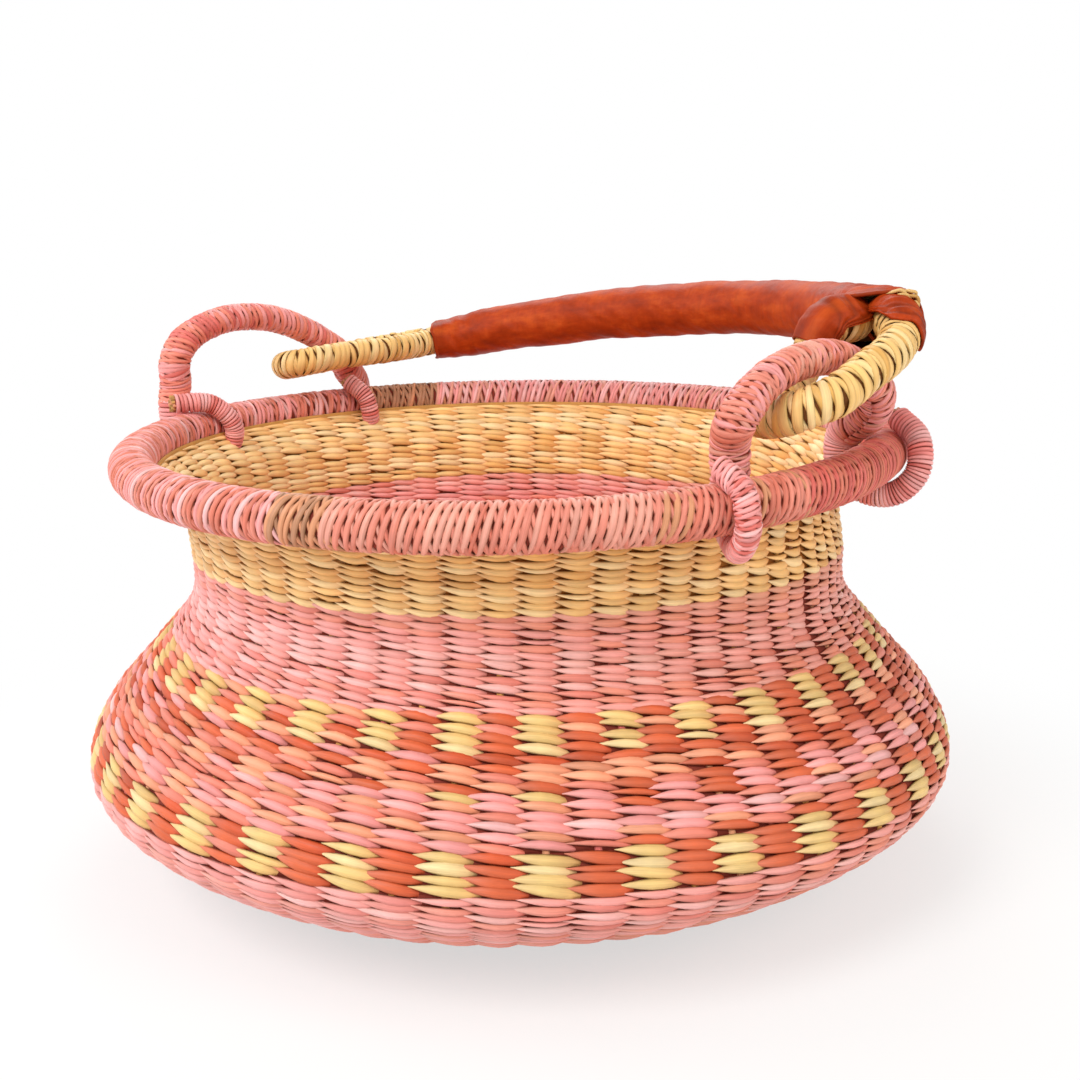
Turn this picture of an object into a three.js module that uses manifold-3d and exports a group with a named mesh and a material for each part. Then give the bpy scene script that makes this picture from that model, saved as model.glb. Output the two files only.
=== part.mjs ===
// A round woven grass market basket with a wrapped rim, two bound ears and a leather-gripped swing handle.
// Millimetres, +Z up. The origin is the centre of the base, on the surface the basket stands on.
// +X points to the right ear, and the handle lies folded towards +Y.
import * as THREE from "three";
import { mergeVertices } from "three/addons/utils/BufferGeometryUtils.js";
import Module from "manifold-3d";

const wasm = await Module();
wasm.setup();

// Driving dimensions: the woven bowl.
const baseRadius = 126;
const bellyRadius = 218;
const rimShare = 0.86835;
const rimRadius = bellyRadius * rimShare;
const rimHeight = 200;
const wallThickness = 5;
const baseThickness = 5.5;
const seam = 0.3;

// The rim roll: a grass core under a layer of crossing strands.
const rollRadius = 10.7;
const rimWrapThickness = 2;
const rimSeatDegrees = -143;

// Handmade give: the rim is drawn in and lifted beside the right ear.
const rimDrawInDepth = 9;
const rimDrawInDegrees = 18;
const rimDrawInSpreadDegrees = 30;
const rimLift = 3.6;
const rimLiftDegrees = 5;
const rimLiftSpreadDegrees = 40;
const waistShare = 0.75;
const waistHeight = rimHeight * waistShare;

// Where the ears and the handle stand across the basket, as shares of the rim's radius.
const standShares = {
  leftEarPlane: 0.99313,
  leftEarCentre: -0.08452,
  leftEarHalfSpan: 0.32752,
  rightEarPlane: 0.91389,
  rightEarCentre: 0.0317,
  rightEarHalfSpan: 0.29583,
  rightPivotY: -0.10301,
  leftPivotY: -0.0317,
  gripHalfSpan: 0.96144,
  gripReach: 0.87427,
};

// The ears: thick at the foot, thinner over the arch, thinnest where they bind round the rim.
const legRadius = 8.8;
const archRadius = 7.9;
const bindingRadius = 5.7;
const earRise = 58;
const earLean = 8;
const leftEarPlane = rimRadius * standShares.leftEarPlane;
const leftEarCentre = rimRadius * standShares.leftEarCentre;
const leftEarHalfSpan = rimRadius * standShares.leftEarHalfSpan;
const rightEarPlane = rimRadius * standShares.rightEarPlane;
const rightEarCentre = rimRadius * standShares.rightEarCentre;
const rightEarHalfSpan = rimRadius * standShares.rightEarHalfSpan;
const bindingGap = 0.9;
const notchGap = 1.4;
const notchDepth = 14;

// The handle: a grass rope that divides into an eye at each end, wound with blades and sleeved in leather.
const strandCore = 7.7;
const bladeSeat = 0.7;
const bladeThickness = 1.3;
const bladePitch = 8.1;
const bladeCoverShare = 0.8;
const eyeGap = 1.1;
const rightPivotRise = 35;
const leftPivotRise = 27;
const rightPivotY = rimRadius * standShares.rightPivotY;
const rightPivotHeight = rimHeight + rightPivotRise;
const leftPivotY = rimRadius * standShares.leftPivotY;
const leftPivotHeight = rimHeight + leftPivotRise;
const gripHalfSpan = rimRadius * standShares.gripHalfSpan;
const gripReach = rimRadius * standShares.gripReach;
const gripLift = 33;
const gripHalfHeight = 14.6;
const mouthHalfHeight = 11.4;
const mouthSpread = 9.7;
const strandGripDepth = 26;
const strandMeet = 2.6;
const windingStart = 10;
const leatherThickness = 1.8;
const lipFlare = 2.6;

// Facets.
const roundSides = 48;
const wallSteps = 15;
const rollSides = 10;
const tubeSides = 10;
const strandSides = 8;
const bladeSteps = 10;
const gripSides = 14;
const gripSteps = 24;
const eyeSteps = 54;

const halfwayShare = 0.5;
const strandRadius = strandCore + bladeSeat + bladeThickness;
const eyeHalfWidth = archRadius + eyeGap + strandRadius;

// The wall's outer outline from the base's edge to the rim, as shares of the belly's radius and the rim's height.
const wallShares = [
  [0.734, 0.06],
  [0.89, 0.14],
  [1, 0.25],
  [0.972, 0.38],
  [0.862, 0.52],
  [0.761, 0.66],
  [0.754, 0.8],
  [0.775, 0.905],
];

// Where each run of weft ends, as a share of the way up the wall's outline.
const runShares = {
  foot_band: [0, 0.42],
  lower_check_band: [0.42, 0.482],
  middle_band: [0.482, 0.628],
  upper_check_band: [0.628, 0.69],
  shoulder_band: [0.69, 0.842],
  neck_band: [0.842, 1],
};

const straw = "#d9ae6a";
const pink = "#e58d86";
const salmon = "#dd8070";
const orange = "#de6a44";
const peach = "#e3a083";
const brown = "#9a5a4a";
const blade = "#e0c27c";
const tan = "#a9472a";
const tanStraw = "#b98263";

const runColours = {
  foot_band: salmon,
  lower_check_band: orange,
  middle_band: peach,
  upper_check_band: orange,
  shoulder_band: pink,
};

const radians = THREE.MathUtils.degToRad;
const part = new THREE.Group();
part.name = "bolga_basket";

function addPiece(name, geometry, color, roughness) {
  const material = new THREE.MeshStandardMaterial({ color, roughness, metalness: 0 });
  const mesh = new THREE.Mesh(geometry, material);
  mesh.name = name;
  part.add(mesh);
  return mesh;
}

// How strongly an azimuth feels a pull that is centred on one direction, from 0 to 1.
function bump(azimuth, centreDegrees, spreadDegrees) {
  const turn = THREE.MathUtils.euclideanModulo(
    azimuth - radians(centreDegrees) + Math.PI,
    Math.PI * 2,
  );
  return Math.exp(-(((turn - Math.PI) / radians(spreadDegrees)) ** 2));
}

// The rim's give at an azimuth: how far it moves outwards and upwards.
function rimGive(azimuth) {
  return {
    out: -rimDrawInDepth * bump(azimuth, rimDrawInDegrees, rimDrawInSpreadDegrees),
    up: rimLift * bump(azimuth, rimLiftDegrees, rimLiftSpreadDegrees),
  };
}

// A point beside the rim roll: its azimuth, its distance from the roll's centre and the angle round the roll.
function besideRim(azimuthDegrees, distance, angleDegrees) {
  const azimuth = radians(azimuthDegrees);
  const give = rimGive(azimuth);
  const radius = rimRadius + give.out + distance * Math.cos(radians(angleDegrees));
  const height = rimHeight + give.up + distance * Math.sin(radians(angleDegrees));
  return new THREE.Vector3(radius * Math.cos(azimuth), radius * Math.sin(azimuth), height);
}

// The rim's give fades out down the neck and is gone at the waist.
function giveWay(geometry) {
  const place = geometry.attributes.position;
  const fullHeight = rimHeight - rollRadius * 1.6;
  for (let i = 0; i < place.count; i += 1) {
    const azimuth = Math.atan2(place.getY(i), place.getX(i));
    const radius = Math.hypot(place.getX(i), place.getY(i));
    const give = rimGive(azimuth);
    const share = THREE.MathUtils.smoothstep(place.getZ(i), waistHeight, fullHeight);
    const moved = radius + give.out * share;
    place.setXYZ(
      i,
      moved * Math.cos(azimuth),
      moved * Math.sin(azimuth),
      place.getZ(i) + give.up * share,
    );
  }
  return geometry;
}

// A solid of revolution about Z from a closed outline of radii and heights.
function revolve(outline) {
  const geometry = new THREE.LatheGeometry([...outline, outline[0]], roundSides);
  return geometry.rotateX(Math.PI / 2);
}

// One surface through a list of rings with equal counts of points, closed into a loop or capped at both ends.
function skin(rings, looped = false) {
  const sides = rings[0].length;
  const points = rings.flat();
  const faces = [];
  const spans = looped ? rings.length : rings.length - 1;
  for (let i = 0; i < spans; i += 1) {
    const here = i * sides;
    const next = ((i + 1) % rings.length) * sides;
    for (let j = 0; j < sides; j += 1) {
      const k = (j + 1) % sides;
      faces.push(here + j, here + k, next + k, here + j, next + k, next + j);
    }
  }
  if (!looped) {
    const last = (rings.length - 1) * sides;
    for (let j = 1; j < sides - 1; j += 1) {
      faces.push(0, j + 1, j);
      faces.push(last, last + j, last + j + 1);
    }
  }
  const geometry = new THREE.BufferGeometry().setFromPoints(points);
  return geometry.setIndex(faces);
}

// Evenly spaced shares from 0 to 1.
function evenly(steps) {
  return Array.from({ length: steps + 1 }, (_, i) => i / steps);
}

// Frames along a curve that don't twist: the centre, the tangent and two directions across it.
function framesAlong(curve, places, firstLift) {
  let lift = firstLift.clone();
  return places.map((t) => {
    const tangent = curve.getTangent(t);
    lift = lift.clone().addScaledVector(tangent, -lift.dot(tangent)).normalize();
    const across = new THREE.Vector3().crossVectors(lift, tangent);
    return { t, centre: curve.getPoint(t), tangent, lift, across };
  });
}

// A ring of points in a frame, with its half width and half height. A roundness of 1 gives an ellipse, and a smaller
// one fills its corners out.
function ring(frame, halfWidth, halfHeight, sides, roundness = 1) {
  const bulge = (value) => Math.sign(value) * Math.abs(value) ** roundness;
  return Array.from({ length: sides }, (_, j) => {
    const angle = (j / sides) * Math.PI * 2;
    return frame.centre
      .clone()
      .addScaledVector(frame.across, halfWidth * bulge(Math.cos(angle)))
      .addScaledVector(frame.lift, halfHeight * bulge(Math.sin(angle)));
  });
}

// A value read between the entries of a list, at a share of the way along it.
function along(list, t) {
  const place = t * (list.length - 1);
  const index = Math.min(Math.floor(place), list.length - 2);
  return THREE.MathUtils.lerp(list[index], list[index + 1], place - index);
}

function manifoldOf(geometry) {
  const bare = geometry.index ? geometry.toNonIndexed() : geometry.clone();
  bare.deleteAttribute("normal");
  bare.deleteAttribute("uv");
  const merged = mergeVertices(bare, seam / 300);
  return new wasm.Manifold(
    new wasm.Mesh({
      numProp: 3,
      vertProperties: merged.attributes.position.array,
      triVerts: new Uint32Array(merged.index.array),
    }),
  );
}

function geometryOf(solid) {
  const mesh = solid.getMesh();
  const geometry = new THREE.BufferGeometry();
  geometry.setAttribute("position", new THREE.BufferAttribute(mesh.vertProperties, 3));
  geometry.setIndex(new THREE.BufferAttribute(mesh.triVerts, 1));
  return geometry;
}

// The bowl: a woven base and six runs of weft, each a band of the same wall.
const rimSeat = new THREE.Vector2(
  rimRadius + (rollRadius + seam) * Math.cos(radians(rimSeatDegrees)),
  rimHeight + (rollRadius + seam) * Math.sin(radians(rimSeatDegrees)),
);
const wallOutline = new THREE.SplineCurve([
  new THREE.Vector2(baseRadius, 0),
  ...wallShares.map(([out, up]) => new THREE.Vector2(bellyRadius * out, rimHeight * up)),
  rimSeat,
]);

function bandOutline(from, to) {
  const steps = Math.max(2, Math.round((to - from) * wallSteps));
  const gapShare = seam / 2 / wallOutline.getLength();
  const start = from === 0 ? gapShare * 2 : from + gapShare;
  const end = to === 1 ? 1 : to - gapShare;
  const outer = [];
  const inner = [];
  for (let i = 0; i <= steps; i += 1) {
    const t = THREE.MathUtils.lerp(start, end, i / steps);
    const point = wallOutline.getPointAt(t);
    const tangent = wallOutline.getTangentAt(t);
    outer.push(point);
    const inward = new THREE.Vector2(-tangent.y, tangent.x);
    inner.unshift(point.clone().addScaledVector(inward, wallThickness));
  }
  return [...outer, ...inner];
}

function buildBase() {
  const tangent = wallOutline.getTangentAt(0);
  const lean = (baseThickness * tangent.y) / tangent.x;
  const outline = [
    new THREE.Vector2(0, 0),
    new THREE.Vector2(baseRadius, 0),
    new THREE.Vector2(baseRadius - lean, baseThickness),
    new THREE.Vector2(0, baseThickness),
  ];
  const geometry = new THREE.LatheGeometry(outline, roundSides).rotateX(Math.PI / 2);
  addPiece("base_disc", geometry, salmon, 0.7);
}

// A slot through the top of the neck, where an ear's binding passes from the outside to the inside.
function notchCutter(azimuthDegrees, halfWidth) {
  const bottom = rimSeat.y - notchDepth;
  const slot = new THREE.Shape();
  slot.moveTo(halfWidth, rimHeight);
  slot.lineTo(-halfWidth, rimHeight);
  slot.lineTo(-halfWidth, bottom + halfWidth);
  slot.absarc(0, bottom + halfWidth, halfWidth, Math.PI, Math.PI * 2, false);
  const reach = rimRadius - waistHeight / 2;
  const cutter = new THREE.ExtrudeGeometry(slot, {
    depth: rimRadius - reach,
    bevelEnabled: false,
    curveSegments: 8,
  });
  cutter.translate(0, 0, reach);
  cutter.applyMatrix4(new THREE.Matrix4().makeBasis(
    new THREE.Vector3(0, 1, 0),
    new THREE.Vector3(0, 0, 1),
    new THREE.Vector3(1, 0, 0),
  ));
  return cutter.rotateZ(radians(azimuthDegrees));
}

// The feet of the two ears. Each binding starts at the leg's side of the rim, goes under it, comes up the other
// side and ends over the top beside the leg. The azimuths follow the strand from the leg to its cut end.
const feet = {
  rightNear: {
    azimuths: [-14.5, -15.2, -17, -19, -19.8, -20.2, -21],
    legAngle: 152,
    turn: 1,
    lastTurn: 290,
    thickness: 1,
  },
  rightFar: {
    azimuths: [25, 25, 24.8, 24.4, 24.6, 26.4, 30],
    legAngle: 152,
    turn: 1,
    lastTurn: 282,
    thickness: 1.12,
  },
  leftNear: {
    azimuths: [202, 201.6, 200.8, 200, 200.2, 203, 207.4],
    legAngle: 28,
    turn: -1,
    lastTurn: 318,
    thickness: 1,
  },
  leftFar: {
    azimuths: [163.5, 163.5, 164.3, 165, 165.4, 166.4, 168.6],
    legAngle: 28,
    turn: -1,
    lastTurn: 276,
    thickness: 1,
  },
};
const footShares = [1, 0.5, 0, 0, 0, 0, 0];

function footSizes(foot) {
  const thin = bindingRadius * foot.thickness;
  return footShares.map((share) => THREE.MathUtils.lerp(thin, legRadius, share));
}

function footPoints(foot) {
  const sizes = footSizes(foot);
  return foot.azimuths.map((azimuth, i) => {
    const angle = foot.legAngle + (foot.turn * foot.lastTurn * i) / (sizes.length - 1);
    return besideRim(azimuth, rollRadius + bindingGap + sizes[i], angle);
  });
}

// The azimuth at which a binding passes through the neck.
function notchAzimuth(foot) {
  const seat = (foot.turn * (rimSeatDegrees - foot.legAngle) + 360) % 360;
  return along(foot.azimuths, seat / foot.lastTurn);
}

// The arch of each ear between its two legs, as shares of its lean, its half span and its rise.
const ears = {
  ear_right: {
    plane: rightEarPlane,
    centre: rightEarCentre,
    halfSpan: rightEarHalfSpan,
    feet: ["rightNear", "rightFar"],
    archShares: [
      [-1, -0.91, 0.45],
      [-0.375, -0.98, 0.595],
      [-0.06, -0.92, 0.707],
      [0, -0.75, 0.828],
      [0, -0.536, 0.905],
      [0, -0.214, 0.959],
      [0, 0.125, 0.957],
      [0, 0.43, 0.888],
      [0, 0.73, 0.741],
      [-0.25, 0.93, 0.603],
      [-1, 1.035, 0.448],
    ],
  },
  ear_left: {
    plane: -leftEarPlane,
    centre: leftEarCentre,
    halfSpan: leftEarHalfSpan,
    feet: ["leftNear", "leftFar"],
    archShares: [
      [-0.375, -0.968, 0.414],
      [-0.125, -0.984, 0.62],
      [0, -0.903, 0.793],
      [0, -0.742, 0.905],
      [0, -0.42, 1],
      [0, -0.03, 0.99],
      [0, 0.21, 0.931],
      [0, 0.468, 0.819],
      [0, 0.677, 0.698],
      [0, 0.855, 0.56],
      [-0.31, 0.984, 0.38],
    ],
  },
};

function spline(points) {
  return new THREE.CatmullRomCurve3(points, false, "centripetal");
}

function buildEar(name) {
  const { plane, centre, halfSpan, feet: ends, archShares } = ears[name];
  const arch = archShares.map(([lean, out, up]) => new THREE.Vector3(
    plane + lean * earLean,
    centre + out * halfSpan,
    rimHeight + up * earRise,
  ));
  const near = footPoints(feet[ends[0]]).reverse();
  const far = footPoints(feet[ends[1]]);
  const sizes = ends.map((end) => footSizes(feet[end]));
  const archRadii = archShares.map(([, out]) =>
    THREE.MathUtils.lerp(archRadius, legRadius, THREE.MathUtils.smoothstep(Math.abs(out), 0.7, 1)),
  );
  const radii = [...sizes[0].reverse(), ...archRadii, ...sizes[1]];
  const points = [...near, ...arch, ...far];
  const curve = spline(points);
  const steps = (points.length - 1) * 3;
  const frames = framesAlong(curve, evenly(steps), new THREE.Vector3(0, 1, 0));
  const rings = frames.map((frame) => {
    const radius = along(radii, frame.t);
    return ring(frame, radius, radius, tubeSides);
  });
  addPiece(name, skin(rings), pink, 0.6);
}

// The rim roll: an unbroken core, and a layer of strands in runs of different dyes, each a sleeve round the core.
const rimRuns = {
  rim_wrap_front: [-67.5, -30, pink],
  rim_wrap_front_right: [-30, -7.5, peach],
  rim_wrap_right: [-7.5, 60, salmon],
  rim_wrap_back: [60, 150, pink],
  rim_wrap_back_left: [150, 165, brown],
  rim_wrap_left: [165, 285, pink],
  rim_wrap_front_left: [285, 292.5, tanStraw],
};

function rimRing(azimuthDegrees, radius) {
  return Array.from({ length: rollSides }, (_, j) =>
    besideRim(azimuthDegrees, radius, (1 - j / rollSides) * 360),
  );
}

function buildRim() {
  const inner = rollRadius - rimWrapThickness;
  const core = new THREE.TorusGeometry(rimRadius, inner - seam, rollSides, roundSides);
  addPiece("rim_core", giveWay(core.translate(0, 0, rimHeight)), straw, 0.7);
  const gap = THREE.MathUtils.radToDeg(seam / rimRadius) / 2;
  for (const [name, [from, to, color]] of Object.entries(rimRuns)) {
    const steps = Math.max(1, Math.round((to - from) / (360 / roundSides)));
    const places = evenly(steps).map((t) => THREE.MathUtils.lerp(from + gap, to - gap, t));
    const outside = places.map((place) => rimRing(place, rollRadius));
    const inside = places.map((place) => rimRing(place, inner)).reverse();
    addPiece(name, skin([...inside, ...outside], true), color, 0.55);
  }
}

// The grip's centre line from the left mouth of the leather to the right one, as shares of the handle's half span,
// its reach from the pivot and its lift above the pivot.
const gripShares = [
  [-0.957, 0.758, 0.03],
  [-0.895, 0.82, 0.09],
  [-0.8, 0.872, 0.2],
  [-0.604, 0.927, 0.39],
  [-0.33, 0.976, 0.6],
  [0, 1, 0.774],
  [0.302, 0.951, 0.871],
  [0.577, 0.823, 0.919],
  [0.792, 0.62, 1],
  [0.89, 0.52, 1],
  [0.935, 0.43, 0.97],
];
const gripLine = spline(gripShares.map(([out, reach, lift]) => new THREE.Vector3(
  out * gripHalfSpan,
  rightPivotY + reach * gripReach,
  rightPivotHeight + lift * gripLift,
)));

// Half widths and half heights of the leather, from one mouth to the other, as shares of the way along the grip.
const mouthHalfWidth = mouthSpread + strandCore + seam * 2 + leatherThickness;
const gripWidths = [
  mouthHalfWidth,
  gripHalfHeight,
  gripHalfHeight,
  gripHalfHeight,
  gripHalfHeight,
  gripHalfHeight,
  mouthHalfWidth + lipFlare,
];
const gripHeights = [
  mouthHalfHeight,
  gripHalfHeight * 0.93,
  gripHalfHeight,
  gripHalfHeight,
  gripHalfHeight,
  gripHalfHeight * 0.95,
  mouthHalfHeight + lipFlare,
];

const gripRoundness = [0.62, 0.9, 1, 1, 1, 0.9, 0.62];

// The eyes: each lies round its ear, with its bend beside the pivot inside the ear's opening. A loop is slanted and
// twisted, so one strand leads and lies higher. The bend and the stations of each strand are placed along the leg,
// across it and above it, in half widths of the eye.
const up = new THREE.Vector3(0, 0, 1);
const eyes = {
  right: {
    plane: rightEarPlane,
    pivot: [rightPivotY, rightPivotHeight],
    bend: [-0.1, -0.02],
    thickness: 1,
    slope: 15,
    mouth: 1,
    twist: 0.28,
    slant: 0,
    outerStations: [[1, 1.05, 0.4], [2, 1.04, 0.44], [2.7, 0.88, 0.55]],
    innerStations: [[0.9, -1.04, -0.1], [1.6, -1.02, 0.25], [2.3, -0.8, 0.86]],
  },
  left: {
    plane: -leftEarPlane,
    pivot: [leftPivotY, leftPivotHeight],
    bend: [0.16, 0.05],
    thickness: 0.86,
    slope: 3,
    mouth: 0,
    twist: 0.2,
    slant: -0.71,
    outerStations: [[0.6, 1.06, 0.2], [1.7, 1.18, 0.16], [2.7, 1.18, 0.14], [3.7, 1, 0.1]],
    innerStations: [[1.4, -1.08, -0.2], [2.3, -1.09, -0.16], [3.4, -0.9, -0.1]],
  },
};

function eyeLine(eye) {
  const { plane, pivot, bend, slope, mouth, twist, slant } = eye;
  const end = gripLine.getPoint(mouth);
  const hidden = gripLine.getPointAt(Math.abs(mouth - strandGripDepth / gripLine.getLength()));
  const inward = gripLine.getTangent(mouth).multiplyScalar(mouth ? -1 : 1);
  const across = new THREE.Vector3().crossVectors(up, inward).normalize();
  const sideways = across.multiplyScalar(Math.sign(across.x));
  const leg = new THREE.Vector3(0, Math.cos(radians(slope)), Math.sin(radians(slope)));
  const side = new THREE.Vector3(1, 0, 0);
  const lift = new THREE.Vector3().crossVectors(side, leg);
  const centre = new THREE.Vector3(plane, ...pivot)
    .addScaledVector(leg, (1 + bend[0]) * eyeHalfWidth)
    .addScaledVector(lift, bend[1] * eyeHalfWidth);
  const place = ([forward, out, high]) => centre
    .clone()
    .addScaledVector(leg, forward * eyeHalfWidth)
    .addScaledVector(side, out * eyeHalfWidth)
    .addScaledVector(lift, high * eyeHalfWidth);
  const mouthPoints = (sign) => [
    hidden.clone().addScaledVector(sideways, sign * strandMeet),
    end.clone().addScaledVector(sideways, sign * mouthSpread),
  ];
  const turn = evenly(6).map((t) => {
    const out = Math.cos(Math.PI * t);
    return place([slant * out - Math.sin(Math.PI * t), out, twist * out]);
  });
  return spline([
    ...mouthPoints(1),
    ...eye.outerStations.map(place).reverse(),
    ...turn,
    ...eye.innerStations.map(place),
    ...mouthPoints(-1).reverse(),
  ]);
}

function buildRope() {
  const hiddenShare = strandGripDepth / gripLine.getLength();
  const places = evenly(gripSteps).filter(
    (t) => Math.abs(t - halfwayShare) < halfwayShare - hiddenShare,
  );
  const frames = framesAlong(gripLine, places, up);
  const grip = skin(frames.map((frame) => gripRing(frame, leatherThickness + seam * 2)));
  let rope = manifoldOf(grip);
  for (const eye of Object.values(eyes)) {
    const strand = framesAlong(eyeLine(eye), evenly(eyeSteps), up);
    const radius = strandCore * eye.thickness;
    const tube = skin(strand.map((frame) => ring(frame, radius, radius, strandSides)));
    rope = rope.add(manifoldOf(tube));
  }
  addPiece("handle_rope", geometryOf(rope), straw, 0.75);
}

// A blade of grass wound round one strand of an eye, as one unbroken flat strip. Its width follows the room between
// its turns, so it narrows on the inside of the bend.
function buildWinding(name, curve, thickness, from, to) {
  const length = curve.getLength() * (to - from);
  const turns = Math.floor(length / bladePitch);
  const pitchShare = (to - from) / (turns + 1);
  const reach = strandCore * thickness + bladeSeat;
  const outside = reach + bladeThickness;
  const placeAt = (share, angle, distance) => {
    const t = curve.getUtoTmapping(share);
    const tangent = curve.getTangent(t);
    const lift = up.clone().addScaledVector(tangent, -up.dot(tangent)).normalize();
    const across = new THREE.Vector3().crossVectors(lift, tangent);
    return curve
      .getPoint(t)
      .addScaledVector(across, distance * Math.cos(angle))
      .addScaledVector(lift, distance * Math.sin(angle));
  };
  const rings = evenly(turns * bladeSteps).map((t) => {
    const share = from + pitchShare * turns * t;
    const angle = Math.PI * 2 * turns * t;
    const here = placeAt(share, angle, outside);
    const nextTurn = placeAt(share + pitchShare, angle, outside);
    const middle = placeAt(share + pitchShare / 2, angle, reach);
    const outer = placeAt(share + pitchShare / 2, angle, outside);
    const half = nextTurn.sub(here).multiplyScalar(bladeCoverShare / 2);
    return [
      middle.clone().sub(half),
      middle.clone().add(half),
      outer.clone().add(half),
      outer.clone().sub(half),
    ];
  });
  let least = Infinity;
  for (let i = 0; i + bladeSteps < rings.length; i += 1) {
    const neighbours = rings.slice(i + bladeSteps / 2, i + bladeSteps * 2).flat();
    for (const point of rings[i]) {
      for (const other of neighbours) {
        least = Math.min(least, point.distanceTo(other));
      }
    }
  }
  console.log(name, turns, "turns, least gap to itself", least.toFixed(2), "mm");
  addPiece(name, skin(rings), blade, 0.5);
}

function buildWindings() {
  for (const [side, eye] of Object.entries(eyes)) {
    const curve = eyeLine(eye);
    const length = curve.getLength();
    const hidden = (strandGripDepth + windingStart) / length;
    const middle = seam / length;
    const first = halfwayShare - middle;
    const second = halfwayShare + middle;
    buildWinding("eye_winding_" + side + "_outer", curve, eye.thickness, hidden, first);
    buildWinding("eye_winding_" + side + "_inner", curve, eye.thickness, second, 1 - hidden);
  }
}

// A ring of the grip's outline, drawn in by an inset.
function gripRing(frame, inset) {
  const halfWidth = along(gripWidths, frame.t) - inset;
  const halfHeight = along(gripHeights, frame.t) - inset;
  return ring(frame, halfWidth, halfHeight, gripSides, along(gripRoundness, frame.t));
}

function buildLeather() {
  const frames = framesAlong(gripLine, evenly(gripSteps), up);
  const outside = frames.map((frame) => gripRing(frame, 0));
  const inside = frames.map((frame) => gripRing(frame, leatherThickness)).reverse();
  addPiece("leather_grip", skin([...inside, ...outside], true), tan, 0.4);
}

function buildBowl() {
  buildBase();
  for (const [name, [from, to]] of Object.entries(runShares)) {
    const geometry = giveWay(revolve(bandOutline(from, to)));
    if (name !== "neck_band") {
      addPiece(name, geometry, runColours[name], 0.65);
      continue;
    }
    let neck = manifoldOf(geometry);
    for (const foot of Object.values(feet)) {
      const slot = notchCutter(notchAzimuth(foot), legRadius + notchGap);
      neck = neck.subtract(manifoldOf(slot));
    }
    addPiece(name, geometryOf(neck), straw, 0.65);
  }
}

buildBowl();
buildRim();
buildEar("ear_right");
buildEar("ear_left");
buildRope();
buildWindings();
buildLeather();

export default part;
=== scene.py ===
import math

import bpy
import numpy as np
from mathutils import Matrix, Vector, noise


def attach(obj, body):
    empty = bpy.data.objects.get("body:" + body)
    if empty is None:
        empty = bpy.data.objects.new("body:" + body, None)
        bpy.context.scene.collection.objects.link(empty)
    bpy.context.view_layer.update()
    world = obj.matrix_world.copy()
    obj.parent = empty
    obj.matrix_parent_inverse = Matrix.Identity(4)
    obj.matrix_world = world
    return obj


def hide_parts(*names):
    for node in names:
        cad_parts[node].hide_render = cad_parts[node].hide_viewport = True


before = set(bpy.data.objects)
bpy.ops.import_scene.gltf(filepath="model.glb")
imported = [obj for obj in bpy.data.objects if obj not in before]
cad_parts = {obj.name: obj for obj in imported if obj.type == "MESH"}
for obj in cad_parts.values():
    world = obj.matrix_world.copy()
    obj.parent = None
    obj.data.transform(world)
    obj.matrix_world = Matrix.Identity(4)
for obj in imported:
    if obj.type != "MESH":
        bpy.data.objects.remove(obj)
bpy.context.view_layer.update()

# All lengths below are millimetres and meet Blender's metres in make_object, up to the stage.
METRE = 0.001
TURN = 2 * math.pi
rng = np.random.default_rng(11)

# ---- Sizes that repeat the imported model's ----
BASE_RADIUS = 126.0
BELLY_RADIUS = 218.0
RIM_RADIUS = 189.3
RIM_HEIGHT = 200.0
WALL = 5.0
BASE_THICKNESS = 5.5
ROLL = 10.7
SEAM = 0.3
RIM_SEAT = math.radians(-143)
WAIST = 150.0
NECK_TOP = RIM_HEIGHT - ROLL * 1.6
STAKES = 68
STAKE_STEP = TURN / STAKES
FIRST_STAKE = math.radians(-43.13)
# The rim's give, inwards and upwards: how far at the most, at which azimuth, and how wide.
DRAWN_IN = (-9.0, 18, 30)
LIFTED = (3.6, 5, 40)
# The wall's outline, as shares of the belly's radius and the rim's height.
WALL_SHARES = [
    (0.734, 0.06), (0.89, 0.14), (1, 0.25), (0.972, 0.38),
    (0.862, 0.52), (0.761, 0.66), (0.754, 0.8), (0.775, 0.905),
]


def linear(code):
    """A colour written as on a screen, as linear light."""
    parts = np.array([int(code[i:i + 2], 16) for i in (1, 3, 5)]) / 255
    return np.where(parts <= 0.04045, parts / 12.92, ((parts + 0.055) / 1.055) ** 2.4)


PAINT = {name: linear(code) for name, code in {
    "natural": "#f6c47c", "natural_light": "#fbd99e", "natural_deep": "#eaae60",
    "pink": "#f39f9d", "pink_light": "#f9bcbc", "pink_deep": "#e2746c",
    "rose": "#d8685f", "salmon": "#ef8b78",
    "orange": "#d8663e", "orange_deep": "#cc5832", "peach": "#f2a380",
    "yellow": "#e6c37e", "yellow_light": "#eed39a",
    "brown": "#bd8767", "tan": "#d99670",
    # Painted shade: the three dark colours below are for the cores seen between strands, where
    # shade falls.
    "gap": "#843528", "gap_straw": "#a05e22", "gap_blade": "#663a14",
    "rim_pink": "#e68c7a", "rim_light": "#eca392", "rim_deep": "#dc7b67",
    "blade": "#f3c67d", "blade_light": "#f8d698", "blade_deep": "#e2ad5e",
    "cut": "#b98a52",
}.items()}


# ---- Numbers and grids ----
def drift(spread, shape=None):
    return spread * rng.standard_normal(shape)


def varied(spread, shape=None):
    return 1 + drift(spread, shape)


def circle(count):
    """Angles spread evenly round a full turn."""
    return np.linspace(0, TURN, count, endpoint=False)


def grid_of(first, second):
    """Two lists as the rows and the columns of a grid."""
    return np.broadcast_arrays(np.asarray(first)[:, None], np.asarray(second)[None])


def joined(*coordinates):
    return np.stack(np.broadcast_arrays(*coordinates), -1)


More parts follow.
